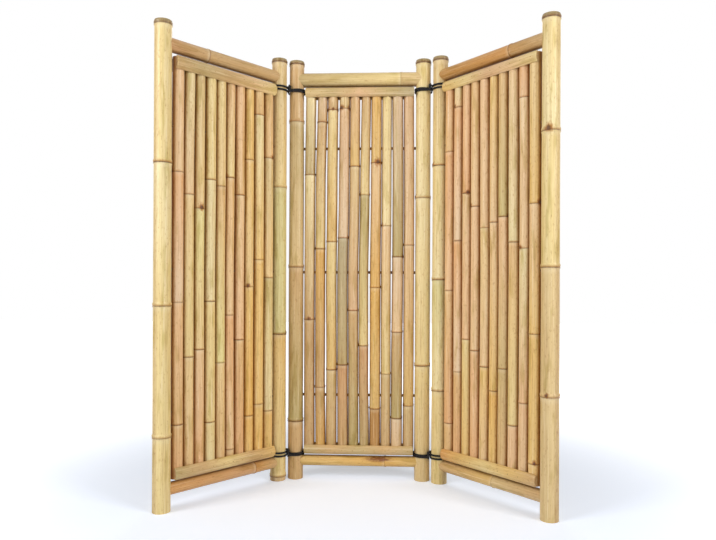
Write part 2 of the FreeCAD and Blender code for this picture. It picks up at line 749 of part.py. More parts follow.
def make_lashing(level, side):
    """One lashing: a single tube along the cord's route, with its knot."""
    curves, knot, heights = lash_route(level, side)
    cord = number("Sizes.cord_diameter")
    knot_radius = number("Sizes.knot_diameter / 2")
    run = sum(curve.length() for curve in curves)
    print(f"{level} lashing: least gap {least_gap(curves, cord):.2f} mm, cord {run:.0f} mm long")
    start = curves[0].value(curves[0].FirstParameter)
    heading = curves[0].value(curves[0].LastParameter) - start
    section = Part.Wire(Part.Circle(start, heading, cord / 2).toShape())
    path = Part.Wire([curve.toShape() for curve in curves])
    tube = path.makePipeShell([section], True, False)
    low = heights[0] - knot_radius
    high = heights[-1] + knot_radius
    bead = Part.makeCylinder(knot_radius, high - low, knot + FreeCAD.Vector(0, 0, low))
    rims = [edge for edge in bead.Edges if edge.Closed]
    bead = bead.makeFillet(knot_radius * KNOT_ROUNDING_SHARE, rims)
    return tube.fuse(bead).removeSplitter()


def make_lashings(panel):
    """The top and bottom lashings between the centre panel and a side panel."""
    side = 1 if panel == "left" else -1
    lashings = [make_lashing(level, side) for level in ("bottom", "top")]
    node = DOC.addObject("Part::Feature", f"{panel}_lashings")
    node.Label = f"{panel}_lashings"
    node.Shape = Part.Compound(lashings)
    link = number("Places.link_angle")
    turn = 180 + link if panel == "left" else -link
    base = FreeCAD.Vector(-side * number("Places.spacing / 2"), number("Places.setback"), 0)
    node.Placement = FreeCAD.Placement(base, FreeCAD.Rotation(FreeCAD.Vector(0, 0, 1), turn))
    return node


POSTS = {
    "left": ("left_outer_post", "left_inner_post"),
    "centre": ("centre_left_post", "centre_right_post"),
    "right": ("right_inner_post", "right_outer_post"),
}


def make_panel(panel):
    """Every piece of a panel."""
    layout = slat_layout(panel)
    pieces = [make_post(POSTS[panel][0], panel, True), make_post(POSTS[panel][1], panel, False)]
    plugs = []
    for level in ("top", "bottom"):
        pieces.append(make_rail(panel, level))
        plugs += [make_plug(panel, level, at_left) for at_left in (True, False)]
        battens = [make_batten(panel, level, side, layout) for side in ("front", "back")]
        pieces.append(group(f"{panel}_{level}_battens", battens))
    pieces.append(group(f"{panel}_rail_plugs", plugs))
    pieces += [make_slat(panel, place, *spot) for place, spot in enumerate(layout)]
    pieces.append(make_rods(panel))
    pieces.append(make_nails(panel, layout))
    return pieces


nodes = [piece for panel in PANELS for piece in make_panel(panel)]
nodes += [make_lashings(panel) for panel in ("left", "right")]
DOC.recompute()

for item in DOC.Objects:
    assert not {"Invalid", "Error"} & set(item.State), f"{item.Label} is {item.State}"
for node in nodes:
    assert not node.Shape.isNull() and node.Shape.isValid(), f"{node.Label} has no valid shape"

os.makedirs("parts", exist_ok=True)
for node in nodes:
    node.Shape.exportStep(f"parts/{node.Label}.step")
print(f"{len(nodes)} nodes, posts {number('Places.spacing'):.1f} mm apart in a panel")
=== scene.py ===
# %% [markdown]
# # A folding screen of bamboo
#
# Three panels of bamboo stand in a shallow U. Each has two stout posts, a rail above and below, ten
# slats between, and split battens nailed across the slats' ends. Black cord lashes the panels
# together, post to post, and lets them fold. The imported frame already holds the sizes, the joints and
# the place of every piece. This script dresses that frame, so it measures the frame first and then
# grows each culm, batten and cord on top of it.

import math

import bpy
import numpy as np
from mathutils import Matrix, Vector, noise


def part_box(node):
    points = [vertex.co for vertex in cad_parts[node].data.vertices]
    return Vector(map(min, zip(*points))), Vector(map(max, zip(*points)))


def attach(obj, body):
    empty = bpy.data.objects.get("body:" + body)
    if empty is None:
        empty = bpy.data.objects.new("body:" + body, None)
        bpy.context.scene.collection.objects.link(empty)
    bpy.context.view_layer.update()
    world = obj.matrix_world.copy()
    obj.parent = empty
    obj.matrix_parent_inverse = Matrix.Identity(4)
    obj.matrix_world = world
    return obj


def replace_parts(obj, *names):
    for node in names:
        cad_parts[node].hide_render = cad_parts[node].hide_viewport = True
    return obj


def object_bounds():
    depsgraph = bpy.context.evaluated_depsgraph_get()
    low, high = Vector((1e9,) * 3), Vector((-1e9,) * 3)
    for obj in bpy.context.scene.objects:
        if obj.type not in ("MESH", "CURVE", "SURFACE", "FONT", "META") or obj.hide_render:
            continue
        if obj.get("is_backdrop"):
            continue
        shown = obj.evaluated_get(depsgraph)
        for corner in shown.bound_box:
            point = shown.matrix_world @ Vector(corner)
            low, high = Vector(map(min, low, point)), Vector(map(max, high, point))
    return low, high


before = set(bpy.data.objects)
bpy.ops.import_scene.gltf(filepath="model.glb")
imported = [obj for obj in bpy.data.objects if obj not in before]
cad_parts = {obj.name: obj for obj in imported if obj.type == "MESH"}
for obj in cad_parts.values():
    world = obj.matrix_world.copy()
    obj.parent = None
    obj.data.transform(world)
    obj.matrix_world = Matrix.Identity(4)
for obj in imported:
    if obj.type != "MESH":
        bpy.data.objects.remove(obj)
cad_low, cad_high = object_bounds()
MM = 0.001
UP = Vector((0, 0, 1))
print(f"{len(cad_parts)} nodes, {(cad_high - cad_low).x:.3f} m wide, {cad_high.z:.3f} m tall")

# %% [markdown]
# ## The camera
#
# The photograph was taken from waist height, nearly straight on, a little right of the middle. A
# level camera keeps the posts upright in the picture, as they are there. Tilting it down would frame
# the screen as well, but would make the posts lean together, so the frame is shifted instead.

# %% Place the camera
IMAGE_WIDTH = 716
FOCAL_PIXELS = 632.2
SHIFT_PIXELS = 16.76
SENSOR_MM = 36
CAMERA_PLACE = Vector((0.126, -2.5085, 0.828))
CAMERA_YAW = math.radians(-2.74)
CAMERA_ROLL = math.radians(0.25)

ahead = Vector((math.sin(CAMERA_YAW), math.cos(CAMERA_YAW), 0))
right = ahead.cross(UP) * math.cos(CAMERA_ROLL) + UP * math.sin(CAMERA_ROLL)

lens = bpy.data.cameras.new("photo_camera")
lens.sensor_width = SENSOR_MM
lens.lens = SENSOR_MM * FOCAL_PIXELS / IMAGE_WIDTH
lens.shift_y = SHIFT_PIXELS / IMAGE_WIDTH
camera = bpy.data.objects.new("photo_camera", lens)
camera.matrix_world = Matrix((right, right.cross(ahead), -ahead)).transposed().to_4x4()
camera.matrix_world.translation = CAMERA_PLACE
bpy.context.scene.collection.objects.link(camera)
bpy.context.scene.camera = camera
bpy.context.scene.view_settings.view_transform = "Standard"
print(f"lens {lens.lens:.1f} mm")

# %% [markdown]
# ## Colours by name
#
# Cut bamboo is never one colour. Sun, age and the way each length was dried leave some culms the
# colour of straw and others honey, peach, rose or olive, and the tone often jumps at a node. A small
# palette of named colours, mixed along each length, is easy to read and to change.

# %% The palette


def linear(red, green, blue):
    """A screen colour of 0 to 255 as the light values that shaders work in."""
    steps = [channel / 255 for channel in (red, green, blue)]
    return tuple(s / 12.92 if s <= 0.04045 else ((s + 0.055) / 1.055) ** 2.4 for s in steps)


PALETTE = {
    "cream": linear(245, 226, 170),
    "straw": linear(234, 210, 146),
    "green": linear(218, 206, 142),
    "honey": linear(228, 192, 120),
    "gold": linear(226, 180, 98),
    "orange": linear(216, 160, 92),
    "amber": linear(196, 148, 84),
    "sand": linear(222, 194, 138),
    "peach": linear(236, 202, 152),
    "blush": linear(230, 202, 164),
    "pink": linear(222, 184, 138),
    "rose": linear(214, 168, 118),
    "tan": linear(210, 174, 120),
    "khaki": linear(198, 174, 120),
    "olive": linear(190, 170, 110),
    "grey": linear(188, 172, 132),
    "tip": linear(164, 144, 100),
}


def mix(first, second, share):
    """Numbers part of the way from one row to another, such as the three of a colour."""
    return tuple(a + (b - a) * share for a, b in zip(first, second))


print(f"{len(PALETTE)} tones")

# %% [markdown]
# ## Shader nodes, briefly
#
# A material is a graph of small nodes. Adding each by hand takes four lines: make it, set its
# options, set its values, link its inputs. One helper does all four, so that the graphs below read
# like recipes.

# %% Helpers for materials


def new_material(name):
    """An empty node material, with its tree."""
    material = bpy.data.materials.new(name)
    material.use_nodes = True
    material.node_tree.nodes.clear()
    return material, material.node_tree


def add(tree, kind, inputs=None, **options):
    """Add a shader node. Each input is given a value, or linked when a socket is given."""
    node = tree.nodes.new("ShaderNode" + kind)
    for option, value in options.items():
        setattr(node, option, value)
    for name, value in (inputs or {}).items():
        if isinstance(value, bpy.types.NodeSocket):
            tree.links.new(value, node.inputs[name])
        else:
            node.inputs[name].default_value = value
    return node


def told(tree, name, output="Fac"):
    """What the mesh tells the shader under a name."""
    return add(tree, "Attribute", attribute_name=name).outputs[output]


def own_place(tree):
    """Where a point is on its own object."""
    return add(tree, "TexCoord").outputs["Object"]


def stretch(tree, vector, across, along):
    """A place scaled across the fibres and along them."""
    scale = {0: vector, 1: (across, across, along)}
    return add(tree, "VectorMath", scale, operation="MULTIPLY").outputs[0]


def ramp(tree, value, low, high, to_low=0, to_high=1):
    """Carry a value smoothly from one range to another, and hold it at the ends."""
    values = {"Value": value, "From Min": low, "From Max": high, "To Min": to_low, "To Max": to_high}
    return add(tree, "MapRange", values, interpolation_type="SMOOTHSTEP").outputs["Result"]


def times(tree, first, second):
    """The product of two values."""
    return add(tree, "Math", {0: first, 1: second}, operation="MULTIPLY").outputs[0]


def plus(tree, first, second):
    """The sum of two values."""
    return add(tree, "Math", {0: first, 1: second}, operation="ADD").outputs[0]


def tint(tree, colour, other, share, blend="MIX"):
    """Mix another colour into a colour by a share."""
    node = add(tree, "Mix", data_type="RGBA", blend_type=blend)
    for socket, value in ((0, share), (6, colour), (7, other)):
        if isinstance(value, bpy.types.NodeSocket):
            tree.links.new(value, node.inputs[socket])
        else:
            node.inputs[socket].default_value = (*value, 1) if isinstance(value, tuple) else value
    return node.outputs[2]


def speckle(tree, vector, detail=2.0, scale=1.0):
    """Soft noise about one half."""
    return add(tree, "TexNoise", {"Vector": vector, "Scale": scale, "Detail": detail}).outputs["Fac"]


def finish_material(tree, colour, roughness, bump_height, bump_depth, **constants):
    """The shader that everything ends in. Values that are the same all over are set on it."""
    bump = add(tree, "Bump", {"Height": bump_height, "Distance": bump_depth, "Strength": 1.0})
    values = {"Base Color": colour, "Roughness": roughness, "Normal": bump.outputs["Normal"]}
    values |= {name.replace("_", " "): value for name, value in constants.items()}
    shader = add(tree, "BsdfPrincipled", values)
    add(tree, "OutputMaterial", {"Surface": shader.outputs["BSDF"]})


# %% [markdown]
# ## The skin of a culm
#
# Dried bamboo has a hard, slightly waxy skin over long fibres. Three things make it read as bamboo:
# fine streaks that run along the culm, a thin dark scar at each node with a pale bloom under it, and
# here and there the mark of a branch. The mesh carries what the shader can't know: the tone of each
# length, the place on the culm (so that streaks follow it and never repeat), the distances up and
# down to the nearest scars with the scar's strength, the distance to the nearest branch mark, scorched
# patches, and how far a point is round to the flank. Painting the scar in the shader keeps it as sharp
# as a pen line at any distance, which geometry alone would need far more faces for. The flanks that
# face the next culm are painted browner than the front: painted shade, where the neighbours shade them.

# %% Bamboo skin
BARK_BROWN = linear(92, 58, 26)
STREAK_BROWN = linear(196, 150, 92)
STREAK_OLIVE = linear(206, 196, 128)
BLOOM = linear(250, 236, 200)
SCORCH = linear(124, 62, 28)
# The brown of the painted shade on the flanks, where neighbouring pieces would shade the skin.
FLANK_SHADE_BROWN = linear(176, 138, 84)


def bamboo_skin():
    """Fibres, mottling, node scars and branch marks over the culm's own tone."""
    material, tree = new_material("bamboo_skin")
    grain = told(tree, "grain", "Vector")
    fibres = speckle(tree, stretch(tree, grain, 1300, 14), 3.0)
    streaks = speckle(tree, stretch(tree, grain, 240, 4), 3.0)
    patches = speckle(tree, stretch(tree, grain, 45, 7))
    mottle = speckle(tree, stretch(tree, grain, 170, 70), 4.0)

    colour = told(tree, "tone", "Color")
    # Layers of streaks: the tint, the noise that places it, where that starts and is full, how strong.
    for other, noise_in, low, high, most, blend in (
        (STREAK_BROWN, streaks, 0.5, 0.78, 0.4, "MULTIPLY"),
        (BLOOM, streaks, 0.46, 0.26, 0.35, "MIX"),
        (STREAK_OLIVE, patches, 0.52, 0.72, 0.55, "MULTIPLY"),
        (STREAK_BROWN, mottle, 0.56, 0.74, 0.4, "MULTIPLY"),
        (STREAK_BROWN, fibres, 0.45, 0.75, 0.45, "MULTIPLY"),
    ):
        colour = tint(tree, colour, other, ramp(tree, noise_in, low, high, 0, most), blend)

    above, below, strength = add(tree, "SeparateXYZ", {0: told(tree, "reach", "Vector")}).outputs
    ragged = ramp(tree, mottle, 0.3, 0.7, 0.6, 1)
    bloom = times(tree, ramp(tree, below, 16 * MM, 3 * MM, 0, 0.22), ragged)
    colour = tint(tree, colour, BLOOM, bloom)
    shade = times(tree, ramp(tree, above, 7 * MM, 1.5 * MM, 0, 0.75), strength)
    colour = tint(tree, colour, STREAK_BROWN, shade, "MULTIPLY")
    # Painted shade: the flanks are darkened, a little raggedly, where neighbouring culms would shade
    # them.
    painted_flank_shade = plus(tree, told(tree, "flank"), times(tree, mottle, 0.12))
    colour = tint(tree, colour, FLANK_SHADE_BROWN, ramp(tree, painted_flank_shade, 0.7, 1.08), "MULTIPLY")
    line = plus(tree, ramp(tree, above, 2.4 * MM, 0.9 * MM), ramp(tree, below, 1.5 * MM, 0.5 * MM))
    line = times(tree, times(tree, line, strength), times(tree, ragged, 0.96))
    colour = tint(tree, colour, BARK_BROWN, line)

    away = times(tree, told(tree, "mark"), ramp(tree, mottle, 0.3, 0.7, 0.75, 1.3))
    colour = tint(tree, colour, STREAK_BROWN, ramp(tree, away, 15 * MM, 5 * MM), "MULTIPLY")
    colour = tint(tree, colour, BARK_BROWN, ramp(tree, away, 7.5 * MM, 3 * MM, 0, 0.94))
    scorch = times(tree, told(tree, "stain"), ramp(tree, mottle, 0.3, 0.6, 0.6, 1.1))
    colour = tint(tree, colour, SCORCH, ramp(tree, scorch, 0.05, 0.8, 0, 0.85), "MULTIPLY")

    roughness = ramp(tree, patches, 0.3, 0.7, 0.36, 0.5)
    height = plus(tree, times(tree, fibres, 0.5), times(tree, mottle, 0.6))
    finish_material(tree, colour, roughness, height, 0.3 * MM, Specular_IOR_Level=0.42)
    return material


SKIN = bamboo_skin()
print(f"{SKIN.name}: {len(SKIN.node_tree.nodes)} shader nodes")

# %% [markdown]
# ## Cut ends and the hollow inside
#
# A saw leaves the wall of a culm as a pale ring, crowded with the dark dots of its fibre bundles,
# all through it. Inside, the culm is lined with a dry, papery film. Both are plain wood colours with
# their own grain, so they need no mesh data beyond where they are.

# %% Cut wood and the lining
CUT_PALE = linear(226, 196, 140)
CUT_DOT = linear(150, 104, 58)
LINING = linear(206, 172, 116)
LINING_DARK = linear(140, 100, 58)


def cut_wood():
    """Sawn bamboo: pale, with the dots of its fibre bundles."""
    material, tree = new_material("cut_bamboo")
    place = own_place(tree)
    dots = add(tree, "TexVoronoi", {"Vector": place, "Scale": 900.0}).outputs["Distance"]
    cloud = speckle(tree, place, 4.0, 60.0)
    colour = tint(tree, CUT_PALE, CUT_DOT, ramp(tree, dots, 0.42, 0.2, 0, 0.6))
    colour = tint(tree, colour, CUT_DOT, ramp(tree, cloud, 0.5, 0.75, 0, 0.5))
    finish_material(tree, colour, ramp(tree, cloud, 0.3, 0.7, 0.6, 0.78), dots, 0.25 * MM)
    return material


def papery_lining():
    """The film inside a culm."""
    material, tree = new_material("culm_lining")
    film = speckle(tree, stretch(tree, own_place(tree), 400, 20), 4.0)
    colour = tint(tree, LINING, LINING_DARK, ramp(tree, film, 0.4, 0.75, 0, 0.8))
    finish_material(tree, colour, ramp(tree, film, 0.3, 0.7, 0.7, 0.85), film, 0.4 * MM)
    return material


CUT = cut_wood()
INSIDE = papery_lining()
print(f"{CUT.name} and {INSIDE.name}")

# %% [markdown]
# ## Measure a culm
#
# A culm of the frame is a tapered tube with a swelling at each node. Its vertices tell everything
# that the dressed one needs: where it starts and ends, how thick it is there, and where it swells.
# Reading these from the frame means that the nodes of the drawing and of the frame can't drift apart.

# %% Read a culm from the frame
# How close to an end a vertex counts for it, how far one of a node stands out at least, and the
# stretch of plain skin that parts two nodes.
END_REACH = 2 * MM
LEAST_SWELL = 0.5 * MM
LEAST_LENGTH = 10 * MM


def middle_of(node):
    """The middle of a node's box."""
    low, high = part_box(node)
    return (low + high) / 2


def floor_place(node):
    """The floor under the middle of an upright node."""
    return middle_of(node) * Vector((1, 1, 0))


def places_of(node):
    """The vertices of a node, a row for each."""
    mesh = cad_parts[node].data
    places = np.empty(len(mesh.vertices) * 3)
    mesh.vertices.foreach_get("co", places)
    return places.reshape(-1, 3)


def read_culm(node, origin, along):
    """The culm's ends along its axis, its radius at each, and the stations of its nodes."""
    offsets = places_of(node) - np.array(origin)
    stations = offsets @ np.array(along)
    radii = np.linalg.norm(offsets - np.outer(stations, np.array(along)), axis=1)
    first, last = stations.min(), stations.max()
    foot = radii[stations < first + END_REACH].max()
    top = radii[stations > last - END_REACH].max()
    plain = foot + (top - foot) * (stations - first) / (last - first)
    proud = np.sort(stations[radii > plain + LEAST_SWELL])
    groups = np.split(proud, np.where(np.diff(proud) > LEAST_LENGTH)[0] + 1)
    nodes = [float(group.min() + group.max()) / 2 for group in groups if len(group)]
    ends = {"first": float(first), "last": float(last), "foot": float(foot), "top": float(top)}
    return ends | {"nodes": nodes}


def radius_at(culm, station):
    """The radius of a culm between its nodes."""
    share = (station - culm["first"]) / (culm["last"] - culm["first"])
    return culm["foot"] + (culm["top"] - culm["foot"]) * share


sample = read_culm("centre_slat_04", floor_place("centre_slat_04"), UP)
print({name: np.round(value, 4).tolist() for name, value in sample.items()})

# %% [markdown]
# ## Grow a culm
#
# A modelled culm could be a cylinder with a screw of loop cuts, a curve with a bevel and a taper, or
# a skin laid ring by ring in code. Rings win here: each one can have its own station, radius and
# small sideways step, so the culm can lean a little from node to node as real ones do, swell over a
# ridge, pinch at the scar, and still end in a flat saw cut with a wall and a hollow behind it.

# %% The swelling at a node
# Pairs of shares: along the node's width from its middle, and of its full swell.
NODE_PROFILE_SHARES = (
    *((-0.62, 0.0), (-0.5, 0.06), (-0.4, 0.22), (-0.31, 0.5), (-0.25, 0.86), (-0.21, 0.9)),
    *((-0.17, 0.5), (-0.1, 0.46), (-0.02, 0.7)),
    *((0.08, 0.94), (0.17, 1.0), (0.27, 0.86), (0.36, 0.56), (0.46, 0.2), (0.6, 0.0)),
)
# The scar is the groove under the ridge, at this share of the node's width.
SCAR_SHARE = -0.19
RING_STEP = 26 * MM


def swelling(station, nodes, width, swell):
    """How far the skin stands out at a station."""
    for node in nodes:
        share = (station - node) / width
        for (low, out_low), (high, out_high) in zip(NODE_PROFILE_SHARES, NODE_PROFILE_SHARES[1:]):
            if low <= share <= high:
                return swell * (out_low + (out_high - out_low) * (share - low) / (high - low))
    return 0.0


def ring_stations(first, last, nodes, width):
    """Stations of the rings: evenly spaced, and close together over each node."""
    stations = {first, last}
    count = max(2, round((last - first) / RING_STEP))
    for step in range(1, count):
        station = first + (last - first) * step / count
        if all(abs(station - node) > width for node in nodes):
            stations.add(station)
    for node in nodes:
        for share, _ in NODE_PROFILE_SHARES:
            station = node + share * width
            if first + MM / 2 < station < last - MM / 2:
                stations.add(station)
    return sorted(stations)


print(f"a node takes {len(NODE_PROFILE_SHARES)} rings")

# %% [markdown]
# Bamboo leans a little at every node and is never quite round. A wander that changes direction at
# the nodes gives that, and noise from a fixed place gives the same culm every time. It fades to
# nothing at the ends, where other pieces hold the culm.

# %% Wander from node to node
# What noise decides: how fast it runs from seed to seed and from node to node, a place in the noise of
# its own, and how strong it is.
TRAITS = {
    "step across": (3.7, 5.3, 0.5, 2.0),
    "step deep": (2.9, 4.1, 7.5, 1.2),
    "bend": (1.3, 6.1, 3.5, 2.0),
    "oval": (1.0, 1.5, 2.5, 1.0),
    "tilt": (1.0, 8.5, 3.5, 1.0),
    "scar": (1.7, 3.3, 4.5, 1.3),
    "bud": (1.9, 2.7, 1.5, 0.5),
    "batten": (1.0, 3.0, 0.5, 1.0),
}


def drift(trait, seed, index=1):
    """Smooth noise about zero, the same for the same seed each time."""
    by_seed, by_index, place, strength = TRAITS[trait]
    return noise.noise(Vector((seed * by_seed, index * by_index, place))) * strength


def clamp(value, low=0, high=1):
    """A value held between two bounds."""
    return max(low, min(high, value))


def find_stretch(station, stops):
    """Which stretch between neighbouring stops a station is in, and how far along it."""
    index = sum(station > stop for stop in stops[1:-1])
    return index, (station - stops[index]) / (stops[index + 1] - stops[index])


def knees_of(culm):
    """The stations where a culm may change direction: its ends and its nodes."""
    return [culm["first"], *culm["nodes"], culm["last"]]


def sway(culm, seed, most):
    """A sideways step of the axis at each knee, across and deep, and none at the ends."""
    steps = []
    for index in range(1, len(culm["nodes"]) + 1):
        across, deep = (clamp(drift(trait, seed, index), -1) for trait in ("step across", "step deep"))
        steps.append((across * most, deep * most))
    return [(0, 0), *steps, (0, 0)]


def wander(station, culm, seed, bow):
    """The step of the axis at a station, with a shallow bow between knees."""
    index, share = find_stretch(station, knees_of(culm))
    share = clamp(share)
    bend = drift("bend", seed, index) * bow * math.sin(math.pi * share)
    across, deep = mix(culm["sway"][index], culm["sway"][index + 1], share)
    if "lean" in culm:
        across += culm["lean"](station)
    return across + bend, deep + bend * 0.5


def tone_at(station, culm, tones):
    """The colour at a station. Each length between nodes runs from its own lower to its upper tone."""
    index, share = find_stretch(station, knees_of(culm))
    lower, upper = tones[index]
    return mix(PALETTE[lower], PALETTE[upper], clamp(share))


# %% A mesh with what the shader needs to be told
# What each vertex tells the shader: how Blender stores it, and the name of its value there.
TOLD = {
    "grain": ("FLOAT_VECTOR", "vector"),
    "tone": ("FLOAT_COLOR", "color"),
    "reach": ("FLOAT_VECTOR", "vector"),
    "mark": ("FLOAT", "value"),
    "stain": ("FLOAT", "value"),
    "flank": ("FLOAT", "value"),
}


class Skin:
    """Vertices, faces and what each vertex tells the shader."""

    def __init__(self):
        self.points = []
        self.faces = []
        self.materials = []
        self.told = {name: [] for name in TOLD}

    def point(self, place, grain, tone, reach=(1, 1, 0), mark=1.0, stain=0.0, flank=0.0):
        """Add a vertex and give its number."""
        self.points.append(place)
        for values, value in zip(self.told.values(), (grain, (*tone, 1), reach, mark, stain, flank)):
            values.append(value)
        return len(self.points) - 1

    def face(self, corners, material, flip=False):
        """One face through a row of vertices."""
        self.faces.append(tuple(reversed(corners)) if flip else tuple(corners))
        self.materials.append(material)

    def strip(self, lower, upper, material):
        """Faces between two rows."""
        for corners in zip(lower, lower[1:], upper[1:], upper):
            self.face(corners, material)

    def band(self, lower, upper, material):
        """Faces between two closed rings."""
        self.strip(lower + lower[:1], upper + upper[:1], material)

    def build(self, name, materials, sharp_degrees=38):
        """The mesh object, with its data for the shader."""
        mesh = bpy.data.meshes.new(name)
        mesh.from_pydata(self.points, [], self.faces)
        for material in materials:
            mesh.materials.append(material)
        mesh.polygons.foreach_set("material_index", self.materials)
        for label, (kind, value_name) in TOLD.items():
            layer = mesh.attributes.new(label, kind, "POINT")
            layer.data.foreach_set(value_name, np.array(self.told[label], dtype=np.float32).ravel())
        mesh.shade_smooth()
        mesh.set_sharp_from_angle(angle=math.radians(sharp_degrees))
        mesh.validate()
        thing = bpy.data.objects.new(name, mesh)
        bpy.context.scene.collection.objects.link(thing)
        return thing


# %% Scars, branch marks and mouths
# A branch mark: how high it sits above its node in widths of the node, and how much a distance up or
# down counts beside one sideways.
BUD_LIFT_SHARE = 0.2
BUD_TALL_SHARE = 0.9
# What counts as far away for the painting, in metres.
FAR_AWAY = 1.0


def scar_reach(station, scars, strengths, style):
    """How far the scars below and above are, for scars of full width, and the near one's strength."""
    above = min([station - scar for scar in scars if scar <= station] or [FAR_AWAY])
    below = min([scar - station for scar in scars if scar > station] or [FAR_AWAY])
    nearest = min(range(len(scars)), key=lambda index: abs(scars[index] - station), default=None)
    strength = min(1, strengths[nearest]) * style["scar_share"] if nearest is not None else 0
    return (above / style["scar_width"], below / style["scar_width"], strength)


def mark_reach(station, angle, radius, marks):
    """The distance to the nearest branch mark, for marks of full size."""
    nearest = FAR_AWAY
    for mark_station, mark_angle, size in marks:
        turn = (angle - mark_angle + math.pi) % math.tau - math.pi
        height = (station - mark_station) * BUD_TALL_SHARE
        nearest = min(nearest, math.hypot(turn * radius, height) / size)
    return nearest


def scorching(stain, station, angle):
    """How scorched a point is, from none to one."""
    if stain is None:
        return 0.0
    along_share = (station - stain[0]) / stain[2]
    round_share = (angle - stain[1]) / stain[3]
    return math.exp(-(along_share**2) - round_share**2)


def clasp(station, aside, culm, style, mouth):
    """Pull a station in at a mouthed end, so that the end clasps a round post."""
    if mouth is None:
        return station
    for end, way in ((culm["first"], 1), (culm["last"], -1)):
        depth = (station - end) * way
        if depth < style["mouth_depth"]:
            lip = mouth(aside) - mouth(culm["foot"])
            return end + way * (lip + depth * (style["mouth_depth"] - lip) / style["mouth_depth"])
    return station


# %% The culm itself
# The lightest that a skin gets, as its strongest channel, and how far from round a culm is at most.
LIGHTEST = 0.86
OVAL_MOST = 0.015
# A ring on either side of a scar, this far from it, keeps the painted line sharp.
SCAR_RIM = 0.15 * MM
# The faintest scar, beside a full one, and how far the rise of a branch mark reaches.
LEAST_SCAR = 0.5
BUD_REACH = 6 * MM
# How far apart the grain of two neighbouring seeds is, in metres.
GRAIN_STEP = 1.37


def grow_culm(name, culm, axes, style, tones, seed, marks=(), mouth=None, stain=None, light=1.0):
    """A culm along an axis. axes are its origin, the way it grows, and two ways across it.
    marks are branch marks: the node's number, the angle round the culm and the size. mouth gives how
    far from the post's axis an end lies, for a distance across. stain is a scorched patch: its station
    and angle, and its reach along and round the culm. light is painted light: how much lighter or darker
    the skin is painted than its tones, for the light that falls on it.
    """
    origin, along, across, deep = axes
    skin = Skin()
    nodes = culm["nodes"]
    node_width = style["node_width"]
    angles = [math.tau * side / style["sides"] for side in range(style["sides"])]
    oval = OVAL_MOST * abs(drift("oval", seed))
    tilt = drift("tilt", seed) * math.pi
    scars = [node + SCAR_SHARE * node_width for node in nodes]
    strengths = [LEAST_SCAR + abs(drift("scar", seed, index)) for index in range(len(scars))]
    marks = [(nodes[node] + node_width * BUD_LIFT_SHARE, angle, size) for node, angle, size in marks]
    culm["sway"] = sway(culm, seed, style["wander"])

    def place_at(station, radius, angle):
        step_across, step_deep = wander(station, culm, seed, style["bow"])
        round_by = 1 - oval * (1 + math.cos(2 * (angle - tilt)))
        reach_across = math.cos(angle) * radius * round_by + step_across
        reach_deep = math.sin(angle) * radius * round_by + step_deep
        return origin + along * station + across * reach_across + deep * reach_deep

    def grain_at(station, radius, angle):
        return (math.cos(angle) * radius, math.sin(angle) * radius, station + seed * GRAIN_STEP)

    rims = [scar + side * SCAR_RIM for scar in scars for side in (-1, 1)]
    rings = []
    for station in sorted({*ring_stations(culm["first"], culm["last"], nodes, node_width), *rims}):
        ring = []
        tone = tone_at(station, culm | {"nodes": scars}, tones)
        # Painted light: the panel's share lifts or lowers the tone, which is held below the lightest.
        lift = min(light, LIGHTEST / max(tone))
        tone = tuple(part * lift for part in tone)
        reach = scar_reach(station, scars, strengths, style)
        plain_radius = radius_at(culm, station) + swelling(station, nodes, node_width, style["swell"])
        for angle in angles:
            mark = mark_reach(station, angle, plain_radius, marks)
            radius = plain_radius + style["bud_rise"] * math.exp(-((mark / BUD_REACH) ** 2))
            settled = clasp(station, math.sin(angle) * radius, culm, style, mouth)
            spot = place_at(settled, radius, angle)
            grain = grain_at(station, radius, angle)
            # Painted shade: the sides across the culm, towards the pieces beside it, are darkened by this
            # much.
            flank = abs(math.cos(angle)) * style["flank_shade_share"]
            scorched = scorching(stain, station, angle)
            ring.append(skin.point(spot, grain, tone, reach, mark, scorched, flank))
        rings.append(ring)
    for lower, upper in zip(rings, rings[1:]):
        skin.band(lower, upper, 0)
    for end, way, edge in ((culm["first"], 1, rings[0]), (culm["last"], -1, rings[-1])):
        radius = radius_at(culm, end)
        inner = radius - style["wall"]
        loops = [edge]
        for depth in (0, style["bore"]):
            loop = []
            for angle in angles:
                station = clasp(end, math.sin(angle) * inner, culm, style, mouth) + way * depth
                spot = place_at(station, inner, angle)
                loop.append(skin.point(spot, grain_at(station, radius, angle), PALETTE["straw"]))
            loops.append(loop)
        for near, far, material in ((loops[0], loops[1], 1), (loops[1], loops[2], 2)):
            skin.band(*((far, near) if way > 0 else (near, far)), material)
        skin.face(loops[2], 2, flip=way > 0)
    return skin.build(name, (SKIN, CUT, INSIDE))


# %% [markdown]
# ## The six posts
#
# The posts are the stoutest culms, sawn off just above a node so that the node's wall closes the
# hollow a finger's breadth below the rim. Their tones are listed from the foot up, one pair for each
# length between nodes: the tone at its lower end, then at its upper end.

# %% Tones of the posts
PANELS = {
    "left": ("left_outer_post", "left_inner_post"),
    "centre": ("centre_left_post", "centre_right_post"),
    "right": ("right_inner_post", "right_outer_post"),
}
POST_TONES = {
    "left_outer_post": "straw>straw straw>straw straw>cream straw>straw tip>tip",
    "left_inner_post": "tan>tan straw>honey green>green straw>sand tip>tip",
    "centre_left_post": "tan>tan olive>tan sand>khaki tan>tan tip>tip",
    "centre_right_post": "sand>straw straw>cream cream>straw tip>tip",
    "right_inner_post": "straw>straw cream>green cream>straw straw>sand tip>tip",
    "right_outer_post": "sand>sand sand>sand straw>straw cream>straw tip>tip",
}


def read_tones(text):
    """Pairs of tone names, from the foot up."""
    return [tuple(pair.split(">")) for pair in text.split()]


